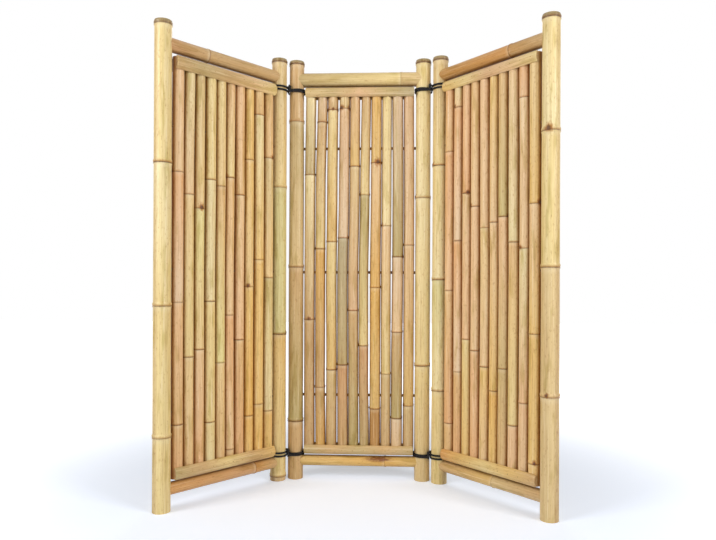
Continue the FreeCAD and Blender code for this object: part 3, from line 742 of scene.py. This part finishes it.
POST_STYLE = {
    "sides": 72,
    "node_width": 22 * MM,
    "swell": 2.6 * MM,
    "scar_width": 1.8,
    "scar_share": 1.0,
    "flank_shade_share": 0.8,
    "bud_rise": 0.6 * MM,
    "wall": 7 * MM,
    "bore": 10.6 * MM,
    "wander": 0.2 * MM,
    "bow": 0.5 * MM,
}
# Branch marks of the posts: the node, counted up from 0, the angle round the post and the size.
POST_MARKS = {
    "left_inner_post": ((1, -1.0, 0.7),),
    "centre_right_post": ((1, -2.9, 0.9),),
    "right_inner_post": ((2, -1.95, 0.9),),
    "right_outer_post": ((0, -1.3, 0.8), (2, -1.22, 1.5)),
}


def axes_between(first_post, second_post):
    """The first post on the floor, the way to the second, the way that the pair of them faces, and
    their spacing."""
    first = floor_place(first_post)
    span = floor_place(second_post) - first
    along = span.normalized()
    return first, along, Vector((along.y, -along.x, 0)), span.length


def dress(piece, node, body):
    """Let a piece ride on a body and stand for a node of the frame."""
    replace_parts(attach(piece, body), node)


# %% Raise the posts
for order, (panel, posts) in enumerate(PANELS.items()):
    _, along, front, _ = axes_between(*posts)
    for number, post in enumerate(posts):
        foot = floor_place(post)
        culm = read_culm(post, foot, UP)
        # The seed gives each culm noise of its own. Any number that no other culm has would do.
        seed = 3 + 7 * number + 20 * order
        tones = read_tones(POST_TONES[post])
        marks = POST_MARKS.get(post, ())
        piece = grow_culm(f"{post}_culm", culm, (foot, UP, along, -front), POST_STYLE, tones, seed, marks)
        dress(piece, post, f"{panel}_panel")
        print(f"{post}: nodes at {[round(node, 3) for node in culm['nodes']]} m")

# %% [markdown]
# ## The thirty slats
#
# The slats are thinner culms from higher up the plant. They stand a few millimetres apart and each
# has its own colour, which is what gives the screen its stripes. The tones follow the photograph.
# None of them is quite straight, so the gaps between them open and close. Bending each slat at random
# would let neighbours cross, so the gaps are chosen instead, and each slat follows from them.

# %% Tones of the slats
SLAT_TONES = {
    "left": (
        "rose>tan tan>pink blush>rose peach>pink",
        "tan>sand straw>sand peach>cream",
        "rose>peach sand>green sand>khaki",
        "cream>straw straw>straw cream>cream straw>straw",
        "tan>sand green>tan sand>straw",
        "tan>tan peach>rose peach>tan straw>pink",
        "rose>tan pink>peach tan>pink",
        "honey>gold gold>honey sand>honey honey>honey",
        "gold>honey honey>honey honey>cream tan>sand",
        "honey>honey cream>olive sand>khaki tan>tan",
    ),
    "centre": (
        "tan>tan tan>cream khaki>cream",
        "gold>tan tan>gold straw>tan tan>blush",
        "tan>sand honey>straw honey>straw tan>peach",
        "tan>rose khaki>grey blush>pink sand>sand",
        "olive>tan pink>sand honey>pink",
        "khaki>rose straw>olive straw>tan",
        "amber>amber honey>gold gold>peach honey>gold",
        "tan>sand straw>peach cream>straw",
        "peach>blush olive>tan peach>blush olive>blush",
        "tan>sand honey>peach peach>pink",
    ),
    "right": (
        "tan>tan rose>tan pink>rose tan>rose",
        "rose>tan blush>rose blush>rose peach>cream",
        "honey>straw pink>peach rose>pink",
        "rose>pink peach>pink peach>tan",
        "peach>honey peach>sand peach>pink",
        "honey>gold honey>peach peach>honey",
        "tan>khaki khaki>pink olive>tan",
        "pink>pink straw>tan cream>peach",
        "peach>pink pink>cream peach>peach pink>rose",
        "tan>honey honey>honey honey>peach honey>sand",
    ),
}
SMALL_BUD = 0.6
# Painted light: each panel's slats are painted this much lighter or darker than the named tones,
# for the light that falls on that panel.
SLAT_PAINTED_LIGHT_SHARES = {"left": 1.22, "centre": 0.94, "right": 1.22}
# Branch marks that show: the slat, the node, counted up from 0, the degrees round from the front and
# the size. Each node that isn't listed gets a small mark on one flank.
SLAT_BUDS = {
    "left": (
        *((3, 1, 0, 1.3), (6, 0, -90, 0.9), (6, 2, -90, 1.4), (8, 1, -34, 0.9)),
        *((9, 0, -88, 0.9), (9, 2, -95, 1.2), (10, 2, 25, 1.0), (10, 2, -90, 0.9)),
    ),
    "centre": (
        *((1, 0, 0, 0.8), (2, 1, -72, 0.9), (3, 0, 66, 0.8), (3, 2, -66, 1.2), (3, 2, 72, 1.1)),
        *((3, 2, 4, 0.7), (4, 0, -75, 0.8), (4, 1, 75, 0.9), (4, 2, -36, 1.2), (4, 2, 60, 1.1)),
        *((5, 1, 78, 0.8), (6, 0, -75, 0.9), (6, 1, -76, 0.9), (6, 1, 76, 0.9), (7, 2, 20, 1.5)),
        *((7, 2, 85, 0.8), (8, 0, -70, 0.9), (8, 1, -68, 1.1), (9, 0, 60, 0.8), (9, 2, 66, 1.0)),
        (10, 0, -62, 0.8),
    ),
    "right": (
        *((2, 2, -20, 0.8), (3, 1, 40, 0.9), (4, 1, -30, 0.9), (7, 1, 80, 0.8)),
        *((9, 1, -20, 0.9), (10, 2, 70, 1.1), (10, 0, 30, 0.8)),
    ),
}
SLAT_STYLE = {
    "sides": 44,
    "node_width": 13 * MM,
    "swell": 1.2 * MM,
    "scar_width": 1.3,
    "scar_share": 1.0,
    "flank_shade_share": 1.0,
    "bud_rise": 1.6 * MM,
    "wall": 4.5 * MM,
    "bore": 60 * MM,
    "wander": 0.3 * MM,
    "bow": 0.3 * MM,
}
# The slats' skin is fuller than the drawn tubes, which brings the gaps closer to the photograph's.
SLAT_FULLNESS = 1.1 * MM

# Shares of the free room between the posts, a row for each level from the foot up: the gap beside the
# left post, the nine gaps between the slats, and the gap beside the right post.
GAP_LEVELS = (0.11, 0.45, 0.85, 1.25, 1.68)
GAP_SHARES = (
    (2.3, 1.6, 0.1, 1.7, 0.1, 1.6, 0.2, 0.2, 0.1, 1.5, 2.2),
    (1.0, 0.4, 1.7, 0.3, 0.2, 0.2, 1.8, 0.5, 0.3, 1.3, 1.1),
    (0.9, 0.2, 0.8, 0.6, 0.2, 0.3, 2.0, 0.3, 1.5, 0.3, 0.9),
    (1.0, 0.4, 1.6, 1.6, 0.2, 0.3, 1.5, 0.2, 1.2, 0.3, 0.9),
    (2.2, 1.9, 0.2, 1.4, 0.1, 1.7, 0.2, 0.4, 0.2, 0.6, 1.9),
)
# How much of that leaning the slats of each panel do.
LEAN_SHARES = {"left": 0.5, "centre": 1, "right": 0.5}
print(f"tones for {sum(map(len, SLAT_TONES.values()))} slats")

# %% Stand the slats


def gap_shares(station):
    """The shares of the eleven gaps at a height, which add up to one."""
    level, share = find_stretch(station, GAP_LEVELS)
    share = clamp(share)
    share = share * share * (3 - 2 * share)
    mixed = mix(GAP_SHARES[level], GAP_SHARES[level + 1], share)
    return [part / sum(mixed) for part in mixed]


def free_gaps(culms, places, post_radius, spacing, station):
    """The eleven gaps between straight culms at a height."""
    edges = [post_radius]
    for culm, place in zip(culms, places):
        radius = radius_at(culm, station)
        edges += [place - radius, place + radius]
    edges.append(spacing - post_radius)
    return [high - low for low, high in zip(edges[::2], edges[1::2])]


def lean_of(panel, number, gaps_by_level):
    """How far a slat leans aside at each height, for the gaps to have their shares."""

    def lean(station):
        shares = gap_shares(station)
        # The right panel has the left one's leaning, mirrored.
        if panel == "right":
            shares.reverse()
        level, share = find_stretch(station, GAP_LEVELS)
        gaps = mix(gaps_by_level[level], gaps_by_level[level + 1], share)
        return LEAN_SHARES[panel] * (sum(gaps) * sum(shares[:number]) - sum(gaps[:number]))

    return lean


def buds_of(panel, number, culm, seed):
    """The slat's listed branch marks, and a small one on a flank of each node without any."""
    buds = [bud for slat, *bud in SLAT_BUDS[panel] if slat == number]
    marked = {node for node, _, _ in buds}
    for node in range(len(culm["nodes"])):
        if node not in marked:
            size = SMALL_BUD + drift("bud", seed, node)
            buds.append((node, 90 * (-1) ** (node + number), size))
    return [(node, math.radians(degrees - 90), size) for node, degrees, size in buds]


for order, (panel, posts) in enumerate(PANELS.items()):
    left, along, front, spacing = axes_between(*posts)
    nodes = [f"{panel}_slat_{number:02d}" for number in range(1, len(SLAT_TONES[panel]) + 1)]
    feet = [floor_place(node) for node in nodes]
    culms = [read_culm(node, foot, UP) for node, foot in zip(nodes, feet)]
    for culm in culms:
        culm["foot"] += SLAT_FULLNESS
        culm["top"] += SLAT_FULLNESS
    places = [(foot - left).dot(along) for foot in feet]
    post_radius = read_culm(posts[0], left, UP)["foot"]
    gaps = [free_gaps(culms, places, post_radius, spacing, level) for level in GAP_LEVELS]
    for number, (node, foot, culm) in enumerate(zip(nodes, feet, culms), start=1):
        seed = 60 + 11 * number + 140 * order
        culm["lean"] = lean_of(panel, number, gaps)
        tones = read_tones(SLAT_TONES[panel][number - 1])
        marks = buds_of(panel, number, culm, seed)
        light = SLAT_PAINTED_LIGHT_SHARES[panel]
        axes = (foot, UP, along, -front)
        piece = grow_culm(f"{node}_culm", culm, axes, SLAT_STYLE, tones, seed, marks, light=light)
        dress(piece, node, f"{panel}_panel")
    print(f"{panel}: {len(nodes)} slats, {sum(gaps[2]) * 1000:.0f} mm free beside them halfway up")

# %% [markdown]
# ## The six rails
#
# A rail's ends are hollowed like a fish's mouth, so that they clasp the round posts. On the saw
# bench that is one pass of a round cutter. Here each point of the end ring is moved along the rail
# until it would touch the post, which is the same cut, worked out point by point.

# %% Lay the rails
RAIL_TONES = {
    "left_top_rail": "rose>tan tan>tan",
    "left_bottom_rail": "orange>rose orange>tan",
    "centre_top_rail": "khaki>straw sand>sand",
    "centre_bottom_rail": "honey>gold gold>honey",
    "right_top_rail": "amber>orange amber>tan",
    "right_bottom_rail": "tan>honey sand>tan",
}
RAIL_STYLE = {
    "sides": 64,
    "node_width": 14 * MM,
    "swell": 1.5 * MM,
    "scar_width": 1.0,
    "scar_share": 0.5,
    "flank_shade_share": 0.88,
    "bud_rise": 0.0,
    "wall": 6 * MM,
    "bore": 30 * MM,
    "wander": 0.4 * MM,
    "bow": 0.3 * MM,
    "mouth_depth": 60 * MM,
}
POST_GAP = 0.3 * MM
# Scorched patches: station and angle of the middle, and reach along the rail and round it.
SCORCHED = {"centre_bottom_rail": (0.36, 2.25, 0.052, 0.62)}

for order, (rail, tone_names) in enumerate(RAIL_TONES.items()):
    panel = rail.split("_")[0]
    left, along, front, _ = axes_between(*PANELS[panel])
    origin = left + UP * middle_of(rail).z
    culm = read_culm(rail, origin, along)
    post_radius = radius_at(read_culm(PANELS[panel][0], left, UP), origin.z) + POST_GAP

    def mouth(aside):
        """How far from the post's axis the rail's end is, for a distance aside of its middle."""
        return math.sqrt(max(post_radius**2 - aside**2, 0))

    tones, seed = read_tones(tone_names), 500 + 13 * order
    axes = (origin, along, -UP, front)
    more = {"mouth": mouth, "stain": SCORCHED.get(rail)}
    piece = grow_culm(f"{rail}_culm", culm, axes, RAIL_STYLE, tones, seed, **more)
    dress(piece, rail, f"{panel}_panel")
    nodes = [round(node, 3) for node in culm["nodes"]]
    print(f"{rail}: {culm['foot'] * 2000:.0f} mm thick, nodes at {nodes}")

# %% [markdown]
# ## The battens
#
# A batten is a strip split from a stout culm, so its section is an arc with a wall, flat where it
# was split. It could be half a culm cut by a plane, but laying the arc row by row keeps the skin and
# the split edges as separate surfaces, each with its own finish.

# %% Lay the battens
BATTEN_TONES = {
    "left_top": ("tan", "khaki", "tan", "peach", "straw"),
    "left_bottom": ("khaki", "tan", "straw", "tan", "honey"),
    "centre_top": ("sand", "khaki", "pink", "khaki", "grey"),
    "centre_bottom": ("khaki", "tan", "khaki", "tan", "khaki"),
    "right_top": ("honey", "straw", "pink", "peach", "straw"),
    "right_bottom": ("orange", "honey", "straw", "honey", "tan"),
}
BATTEN_RADIUS_SHARE = 0.6
BATTEN_WALL = 5 * MM
# From a batten's end: the distance, and the share of its width that is left there.
BATTEN_END_SHARES = ((0, 0.86), (1.2 * MM, 0.93), (3 * MM, 0.97), (6 * MM, 0.99), (11 * MM, 1.0))
BATTEN_ROW_STEP = 22 * MM
BATTEN_SWING = 0.3 * MM
ARC_STEPS = 18


def batten_tone(names, share):
    """A tone along the batten, eased through the named ones."""
    place = share * (len(names) - 1)
    index = min(len(names) - 2, int(place))
    return mix(PALETTE[names[index]], PALETTE[names[index + 1]], place - index)


def batten_rows(length):
    """Stations along a batten, with the share of its width that is left at each."""
    start = BATTEN_END_SHARES[-1][0]
    count = round((length - 2 * start) / BATTEN_ROW_STEP)
    middle = [(start + (length - 2 * start) * step / count, 1.0) for step in range(1, count)]
    far_end = [(length - distance, share) for distance, share in reversed(BATTEN_END_SHARES)]
    return [*BATTEN_END_SHARES, *middle, *far_end]


def lay_batten(name, start, along, out, length, width, names, seed):
    """A split culm from start, along the panel. out is the way it bulges."""
    skin = Skin()
    radius = width * BATTEN_RADIUS_SHARE
    behind = math.sqrt(radius**2 - width**2 / 4)
    bore = radius - BATTEN_WALL
    arcs = ((math.asin(width / 2 / radius), radius), (math.acos(behind / bore), bore))
    rows = []
    for station, left_over in batten_rows(length):
        swing = BATTEN_SWING * drift("batten", seed, station / length)
        tone = batten_tone(names, station / length)
        pair = []
        for half, rise in arcs:
            arc = []
            for step in range(ARC_STEPS + 1):
                angle = -half + 2 * half * step / ARC_STEPS
                high = math.sin(angle) * rise * left_over + swing
                proud = (math.cos(angle) * rise - behind) * left_over
                spot = start + along * station + UP * high + out * max(0.0, proud)
                grain = (math.sin(angle) * radius, math.cos(angle) * radius, station + seed)
                arc.append(skin.point(spot, grain, tone))
            pair.append(arc)
        rows.append(pair)
    steps = list(zip(rows, rows[1:]))
    for (outer, _), (next_outer, _) in steps:
        skin.strip(next_outer, outer, 0)
    for (_, inner), (_, next_inner) in steps:
        skin.strip(inner, next_inner, 1)
    for (outer, inner), (next_outer, next_inner) in steps:
        for edge in (0, -1):
            skin.face((outer[edge], next_outer[edge], next_inner[edge], inner[edge]), 1, flip=edge == -1)
    for (outer, inner), flip in ((rows[0], False), (rows[-1], True)):
        for corners in zip(outer, inner, inner[1:], outer[1:]):
            skin.face(corners, 1, flip=flip)
    return skin.build(name, (SKIN, CUT))


for order, (panel, posts) in enumerate(PANELS.items()):
    left, along, front, _ = axes_between(*posts)
    for level in ("top", "bottom"):
        node = f"{panel}_{level}_battens"
        low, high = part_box(node)
        offsets = [vertex.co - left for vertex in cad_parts[node].data.vertices]
        stations = [offset.dot(along) for offset in offsets]
        first, length = min(stations), max(stations) - min(stations)
        # The flat faces are the nearest to the panel's plane.
        seat = min(abs(offset.dot(front)) for offset in offsets)
        width = high.z - low.z
        for side, way in (("front", 1), ("back", -1)):
            start = left + along * first + front * (way * seat) + UP * ((low.z + high.z) / 2)
            tones = BATTEN_TONES[f"{panel}_{level}"][::way]
            seed = 30 + 5 * len(node) + way + 9 * order
            name = f"{panel}_{level}_batten_{side}"
            piece = lay_batten(name, start, along, front * way, length, width, tones, seed)
            dress(piece, node, f"{panel}_panel")
        print(f"{node}: {width * 1000:.0f} mm wide, {length * 1000:.0f} mm long")

# %% [markdown]
# ## Rods, plugs and nails
#
# Three dark rods run through the slats of each panel and show only as dots in the gaps. Turned plugs
# join the rails to the posts inside, and small nails hold the battens. Their shapes in the frame are
# right as they are, so they only get a finish.

# %% Finishes of the small pieces


def plain_finish(name, light, dark, scale, detail, light_until, rough, bump, **constants):
    """Two tones of one stuff in a fine, even grain."""
    material, tree = new_material(name)
    grain = speckle(tree, own_place(tree), detail, scale)
    colour = tint(tree, light, dark, ramp(tree, grain, light_until, 0.7))
    finish_material(tree, colour, ramp(tree, grain, 0.3, 0.7, *rough), grain, bump, **constants)
    return material


STAIN = (linear(112, 76, 42), linear(62, 38, 20))
PLUG = (linear(214, 178, 124), linear(170, 126, 78))
BRASS = (linear(204, 170, 112), linear(150, 114, 66))
FINISHES = {
    "rods": plain_finish("stained_rod", *STAIN, 160.0, 4.0, 0.35, (0.5, 0.7), 0.2 * MM),
    "rail_plugs": plain_finish("turned_plug", *PLUG, 220.0, 3.0, 0.4, (0.55, 0.7), 0.15 * MM),
    "nails": plain_finish("dull_brass", *BRASS, 700.0, 3.0, 0.4, (0.35, 0.55), 0.05 * MM, Metallic=1.0),
}
for panel in PANELS:
    for kind, material in FINISHES.items():
        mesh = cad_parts[f"{panel}_{kind}"].data
        mesh.materials.clear()
        mesh.materials.append(material)
print(f"finished: {', '.join(FINISHES)}")

# %% [markdown]
# ## The lashings
#
# Each pair of posts is tied above and below with a black cord, wound twice round both posts in a
# figure of eight, so that the posts roll on each other as the screen folds. Its route is geometry: a
# circle round each post, a straight run where it crosses between them, and a knot in the hollow
# between the posts. A bevelled curve would look like a rubber hose, so three strands are twisted
# round that route instead, as a rope maker lays them.

# %% The cord's sizes
CORD = 6.5 * MM
CORD_PITCH = CORD + 0.5 * MM
KNOT_RADIUS = 6 * MM
KNOT_GAP = 1 * MM
KNOT_PITCH = CORD + 0.2 * MM
KNOT_POINTS_PER_TURN = 20
# Pulled tight, the cord spreads along the post until neighbouring turns touch.
CORD_SPREAD_SHARE = 1.38
CORD_BLACK = linear(14, 12, 13)
CORD_WORN = linear(44, 38, 40)
# Each vertex has a tone, but the cord's own material doesn't ask for it.
CORD_TONE = (0.01, 0.01, 0.01)
STRANDS = 3
STRAND_LAY = 17 * MM
STRAND_SIDES = 9
# The strands press into each other, by this much of their thickness.
STRAND_PRESS_SHARE = 1.08
ROUTE_STEP = 1.6 * MM
LASHED_POSTS = {
    "left": ("centre_left_post", "left_inner_post"),
    "right": ("centre_right_post", "right_inner_post"),
}


def lashing_rings(node, start, across):
    """The height of each lashing's middle and the radius of its rings, read from the frame."""
    places = places_of(node)
    heights = places[:, 2]
    half = (heights.min() + heights.max()) / 2
    rings = []
    for group in (places[heights < half], places[heights > half]):
        middle = (group[:, 2].min() + group[:, 2].max()) / 2
        reach = ((group - np.array(start)) @ np.array(across)).min()
        rings.append((float(middle), float(-reach - CORD / 2)))
    return rings


# %% The route of the cord


def turn_points(ring, centre, start, end, low, high):
    """Points of a turn round a post, climbing smoothly."""
    count = max(6, round(abs(math.radians(end - start)) * ring / ROUTE_STEP))
    points = []
    for step in range(count + 1):
        share = step / count
        angle = math.radians(start + (end - start) * share)
        height = low + (high - low) * share**2 * (3 - 2 * share)
        points.append(Vector((centre + ring * math.cos(angle), ring * math.sin(angle), height)))
    return points


def run_to(points, target):
    """Points of a straight run from the last point to a target, without the target."""
    gap = target - points[-1]
    runs = max(1, round(gap.length / ROUTE_STEP))
    return [points[-1] + gap * step / runs for step in range(1, runs)]


def lashing_route(middle, ring, spacing):
    """The cord from the knot, twice round each post in a figure of eight, and back to the knot."""
    heights = [middle + CORD_PITCH * share for share in (-1.5, -0.5, 0.5, 1.5)]
    knot_reach = ring + CORD / 2 + KNOT_GAP + KNOT_RADIUS
    knot_front = math.sqrt(knot_reach**2 - (spacing / 2) ** 2)
    cross = math.degrees(math.acos(2 * ring / spacing))
    knot_angle = math.degrees(math.acos(spacing / 2 / knot_reach))
    leave = math.degrees(math.acos(ring / knot_reach))
    turns = (
        (0, knot_angle + leave, 360 - cross, heights[0], heights[0]),
        (spacing, 180 - cross, cross - 180, heights[0], heights[1]),
        (0, cross, 360 - cross, heights[1], heights[2]),
        (spacing, 180 - cross, leave - knot_angle - 180, heights[2], heights[3]),
    )
    knot = Vector((spacing / 2, knot_front, 0))
    points = [knot + UP * heights[0]]
    for turn in turns:
        turned = turn_points(ring, *turn)
        points += run_to(points, turned[0]) + turned
    end = knot + UP * heights[-1]
    points += [*run_to(points, end), end]
    return points, knot, heights


def knot_points(knot, heights):
    """A barrel of turns on the knot's upright axis."""
    radius = KNOT_RADIUS - CORD / 2
    low, high = heights[0] - CORD / 2, heights[-1] + CORD / 2
    turns = (high - low) / KNOT_PITCH
    count = round(turns * KNOT_POINTS_PER_TURN)
    points = []
    for step in range(count + 1):
        angle = step / count * turns * math.tau
        height = low + (high - low) * step / count
        points.append(knot + Vector((math.cos(angle) * radius, math.sin(angle) * radius, height)))
    return points


# %% Twist strands round a route


def walk_frames(points):
    """Two ways across a path at each of its points, carried along it without twisting."""
    ways = []
    normal = None
    for before, after in zip([points[0], *points], [*points[1:], points[-1]]):
        heading = (after - before).normalized()
        normal = normal or heading.orthogonal().normalized()
        normal = (normal - heading * normal.dot(heading)).normalized()
        ways.append((normal, heading.cross(normal)))
    return ways


def twist(skin, points):
    """Strands laid round a path."""
    strand = CORD / 2 / (1 + 2 / math.sqrt(3)) * STRAND_PRESS_SHARE
    offset = CORD / 2 - strand
    ways = walk_frames(points)
    for number in range(STRANDS):
        run = 0.0
        rings = []
        for index, (point, (first, second)) in enumerate(zip(points, ways)):
            if index:
                run += (point - points[index - 1]).length
            turn = math.tau * (run / STRAND_LAY + number / STRANDS)
            centre = point + (first * math.cos(turn) + second * math.sin(turn)) * offset
            ring = []
            for side in range(STRAND_SIDES):
                angle = math.tau * side / STRAND_SIDES
                spot = centre + (first * math.cos(angle) + second * math.sin(angle)) * strand
                spot.z = point.z + (spot.z - point.z) * CORD_SPREAD_SHARE
                grain = (math.cos(angle - turn) * strand, math.sin(angle - turn) * strand, run + number)
                ring.append(skin.point(spot, grain, CORD_TONE))
            rings.append(ring)
        for lower, upper in zip(rings, rings[1:]):
            skin.band(lower, upper, 0)
        skin.face(rings[0], 0, flip=True)
        skin.face(rings[-1], 0)


# %% Black cord


def black_cord():
    """Twisted black cord, worn a little grey on its fibres."""
    material, tree = new_material("black_cord")
    grain = told(tree, "grain", "Vector")
    fibres = speckle(tree, stretch(tree, grain, 3200, 320), 3.0)
    wear = speckle(tree, stretch(tree, grain, 400, 90))
    colour = tint(tree, CORD_BLACK, CORD_WORN, ramp(tree, fibres, 0.5, 0.75, 0, 0.7))
    colour = tint(tree, colour, CORD_WORN, ramp(tree, wear, 0.55, 0.8, 0, 0.5))
    roughness = ramp(tree, fibres, 0.3, 0.7, 0.5, 0.7)
    finish_material(tree, colour, roughness, fibres, 0.25 * MM, Specular_IOR_Level=0.35)
    return material


CORD_MATERIAL = black_cord()
print(f"{CORD_MATERIAL.name}: {len(CORD_MATERIAL.node_tree.nodes)} shader nodes")

# %% Wind the lashings
for side, posts in LASHED_POSTS.items():
    node = f"{side}_lashings"
    start, across, front, spacing = axes_between(*posts)
    # The knot is on the side of the posts that the camera sees.
    turned = Matrix((across, front * math.copysign(1, -front.y), UP)).transposed()
    skin = Skin()
    for middle, ring in lashing_rings(node, start, across):
        points, knot, heights = lashing_route(middle, ring, spacing)
        twist(skin, points)
        twist(skin, knot_points(knot, heights))
        length = sum((b - a).length for a, b in zip(points, points[1:]))
        print(f"{node}: ring {ring * 1000:.1f} mm, cord {length * 1000:.0f} mm at {middle * 1000:.0f} mm")
    skin.points = [start + turned @ point for point in skin.points]
    piece = skin.build(f"{side}_cord", (CORD_MATERIAL,), sharp_degrees=70)
    dress(piece, node, f"{side}_lashing")

# %% [markdown]
# ## Light and floor
#
# The photograph is a plain studio picture: white all round, with soft light from both sides and a
# faint shadow on the floor. One strong lamp in front would light the gaps between the slats and make
# them flat, so two broad lamps stand well aside and rake across the rows, a weak one in front fills
# in, and one behind lights the back. The floor is lit like any surface, and a glow that only the
# camera sees lifts it to white, so that the shadow stays and the screen gets no extra light.

# %% Surroundings
AMBIENT = 0.24


def in_sight(tree):
    """One for what the camera sees, straight, mirrored or through glass, and none for light elsewhere."""
    path = add(tree, "LightPath").outputs
    seen = path["Is Camera Ray"]
    for ray in ("Is Glossy Ray", "Is Transmission Ray"):
        seen = add(tree, "Math", {0: seen, 1: path[ray]}, operation="MAXIMUM").outputs[0]
    return seen


world = bpy.data.worlds.new("studio")
bpy.context.scene.world = world
world.use_nodes = True
tree = world.node_tree
tree.nodes.clear()
glow = {"Value": in_sight(tree), "To Min": AMBIENT, "To Max": 1.0}
strength = add(tree, "MapRange", glow).outputs["Result"]
background = add(tree, "Background", {"Color": (1, 1, 1, 1), "Strength": strength})
add(tree, "OutputWorld", {"Surface": background.outputs[0]})
print(f"ambient light of {AMBIENT}")

# %% Lamps


def soft_lamp(name, place, target, width, height, watts):
    """A broad area lamp that points at a place."""
    light = bpy.data.lights.new(name, "AREA")
    light.shape = "RECTANGLE"
    light.size = width
    light.size_y = height
    light.energy = watts
    lamp = bpy.data.objects.new(name, light)
    lamp.matrix_world = (Vector(target) - Vector(place)).to_track_quat("-Z", "Y").to_matrix().to_4x4()
    lamp.matrix_world.translation = Vector(place)
    bpy.context.scene.collection.objects.link(lamp)


soft_lamp("left_lamp", (-3.1, -2.5, 2.4), (0.3, 0, 0.9), 1.6, 2.0, 100)
soft_lamp("right_lamp", (3.1, -2.5, 2.4), (-0.3, 0, 0.9), 1.6, 2.0, 98)
soft_lamp("front_lamp", (0.2, -4.6, 2.4), (0, 0, 0.9), 2.0, 1.6, 20)
soft_lamp("back_lamp", (0, 4.0, 3.0), (0, 0, 0.9), 2.4, 1.6, 36)
print("four lamps")

# %% Floor
FLOOR_SHADE = linear(224, 233, 249)
# How much the floor glows near the screen and far from it, and the distances between which it grows.
NEAR_GLOW, FAR_GLOW = 0.28, 1.0
NEAR, FAR = 0.8, 2.6
FLOOR_REACH = 12

material, tree = new_material("pale_floor")
matt = add(tree, "BsdfDiffuse", {"Color": (*FLOOR_SHADE, 1)})
distance = add(tree, "VectorMath", {0: own_place(tree)}, operation="LENGTH").outputs["Value"]
strength = times(tree, in_sight(tree), ramp(tree, distance, NEAR, FAR, NEAR_GLOW, FAR_GLOW))
glow = add(tree, "Emission", {"Color": (1, 1, 1, 1), "Strength": strength})
both = add(tree, "AddShader", {0: matt.outputs[0], 1: glow.outputs[0]})
add(tree, "OutputMaterial", {"Surface": both.outputs[0]})

mesh = bpy.data.meshes.new("floor")
corners = [(x * FLOOR_REACH, y * FLOOR_REACH, 0) for x, y in ((-1, -1), (1, -1), (1, 1), (-1, 1))]
mesh.from_pydata(corners, [], [(0, 1, 2, 3)])
mesh.materials.append(material)
floor = bpy.data.objects.new("floor", mesh)
bpy.context.scene.collection.objects.link(floor)
floor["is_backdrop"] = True
print(f"floor {2 * FLOOR_REACH} m wide")

# %% [markdown]
# ## The sizes
#
# The dressed screen has to stay within the frame's box, so both boxes are printed.

# %% Print the sizes
dressed_low, dressed_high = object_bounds()
boxes = {"frame": [list(cad_low), list(cad_high)], "dressed": [list(dressed_low), list(dressed_high)]}
for name, (low, high) in boxes.items():
    print(f"{name}: {[round(value, 4) for value in low]} to {[round(value, 4) for value in high]}")
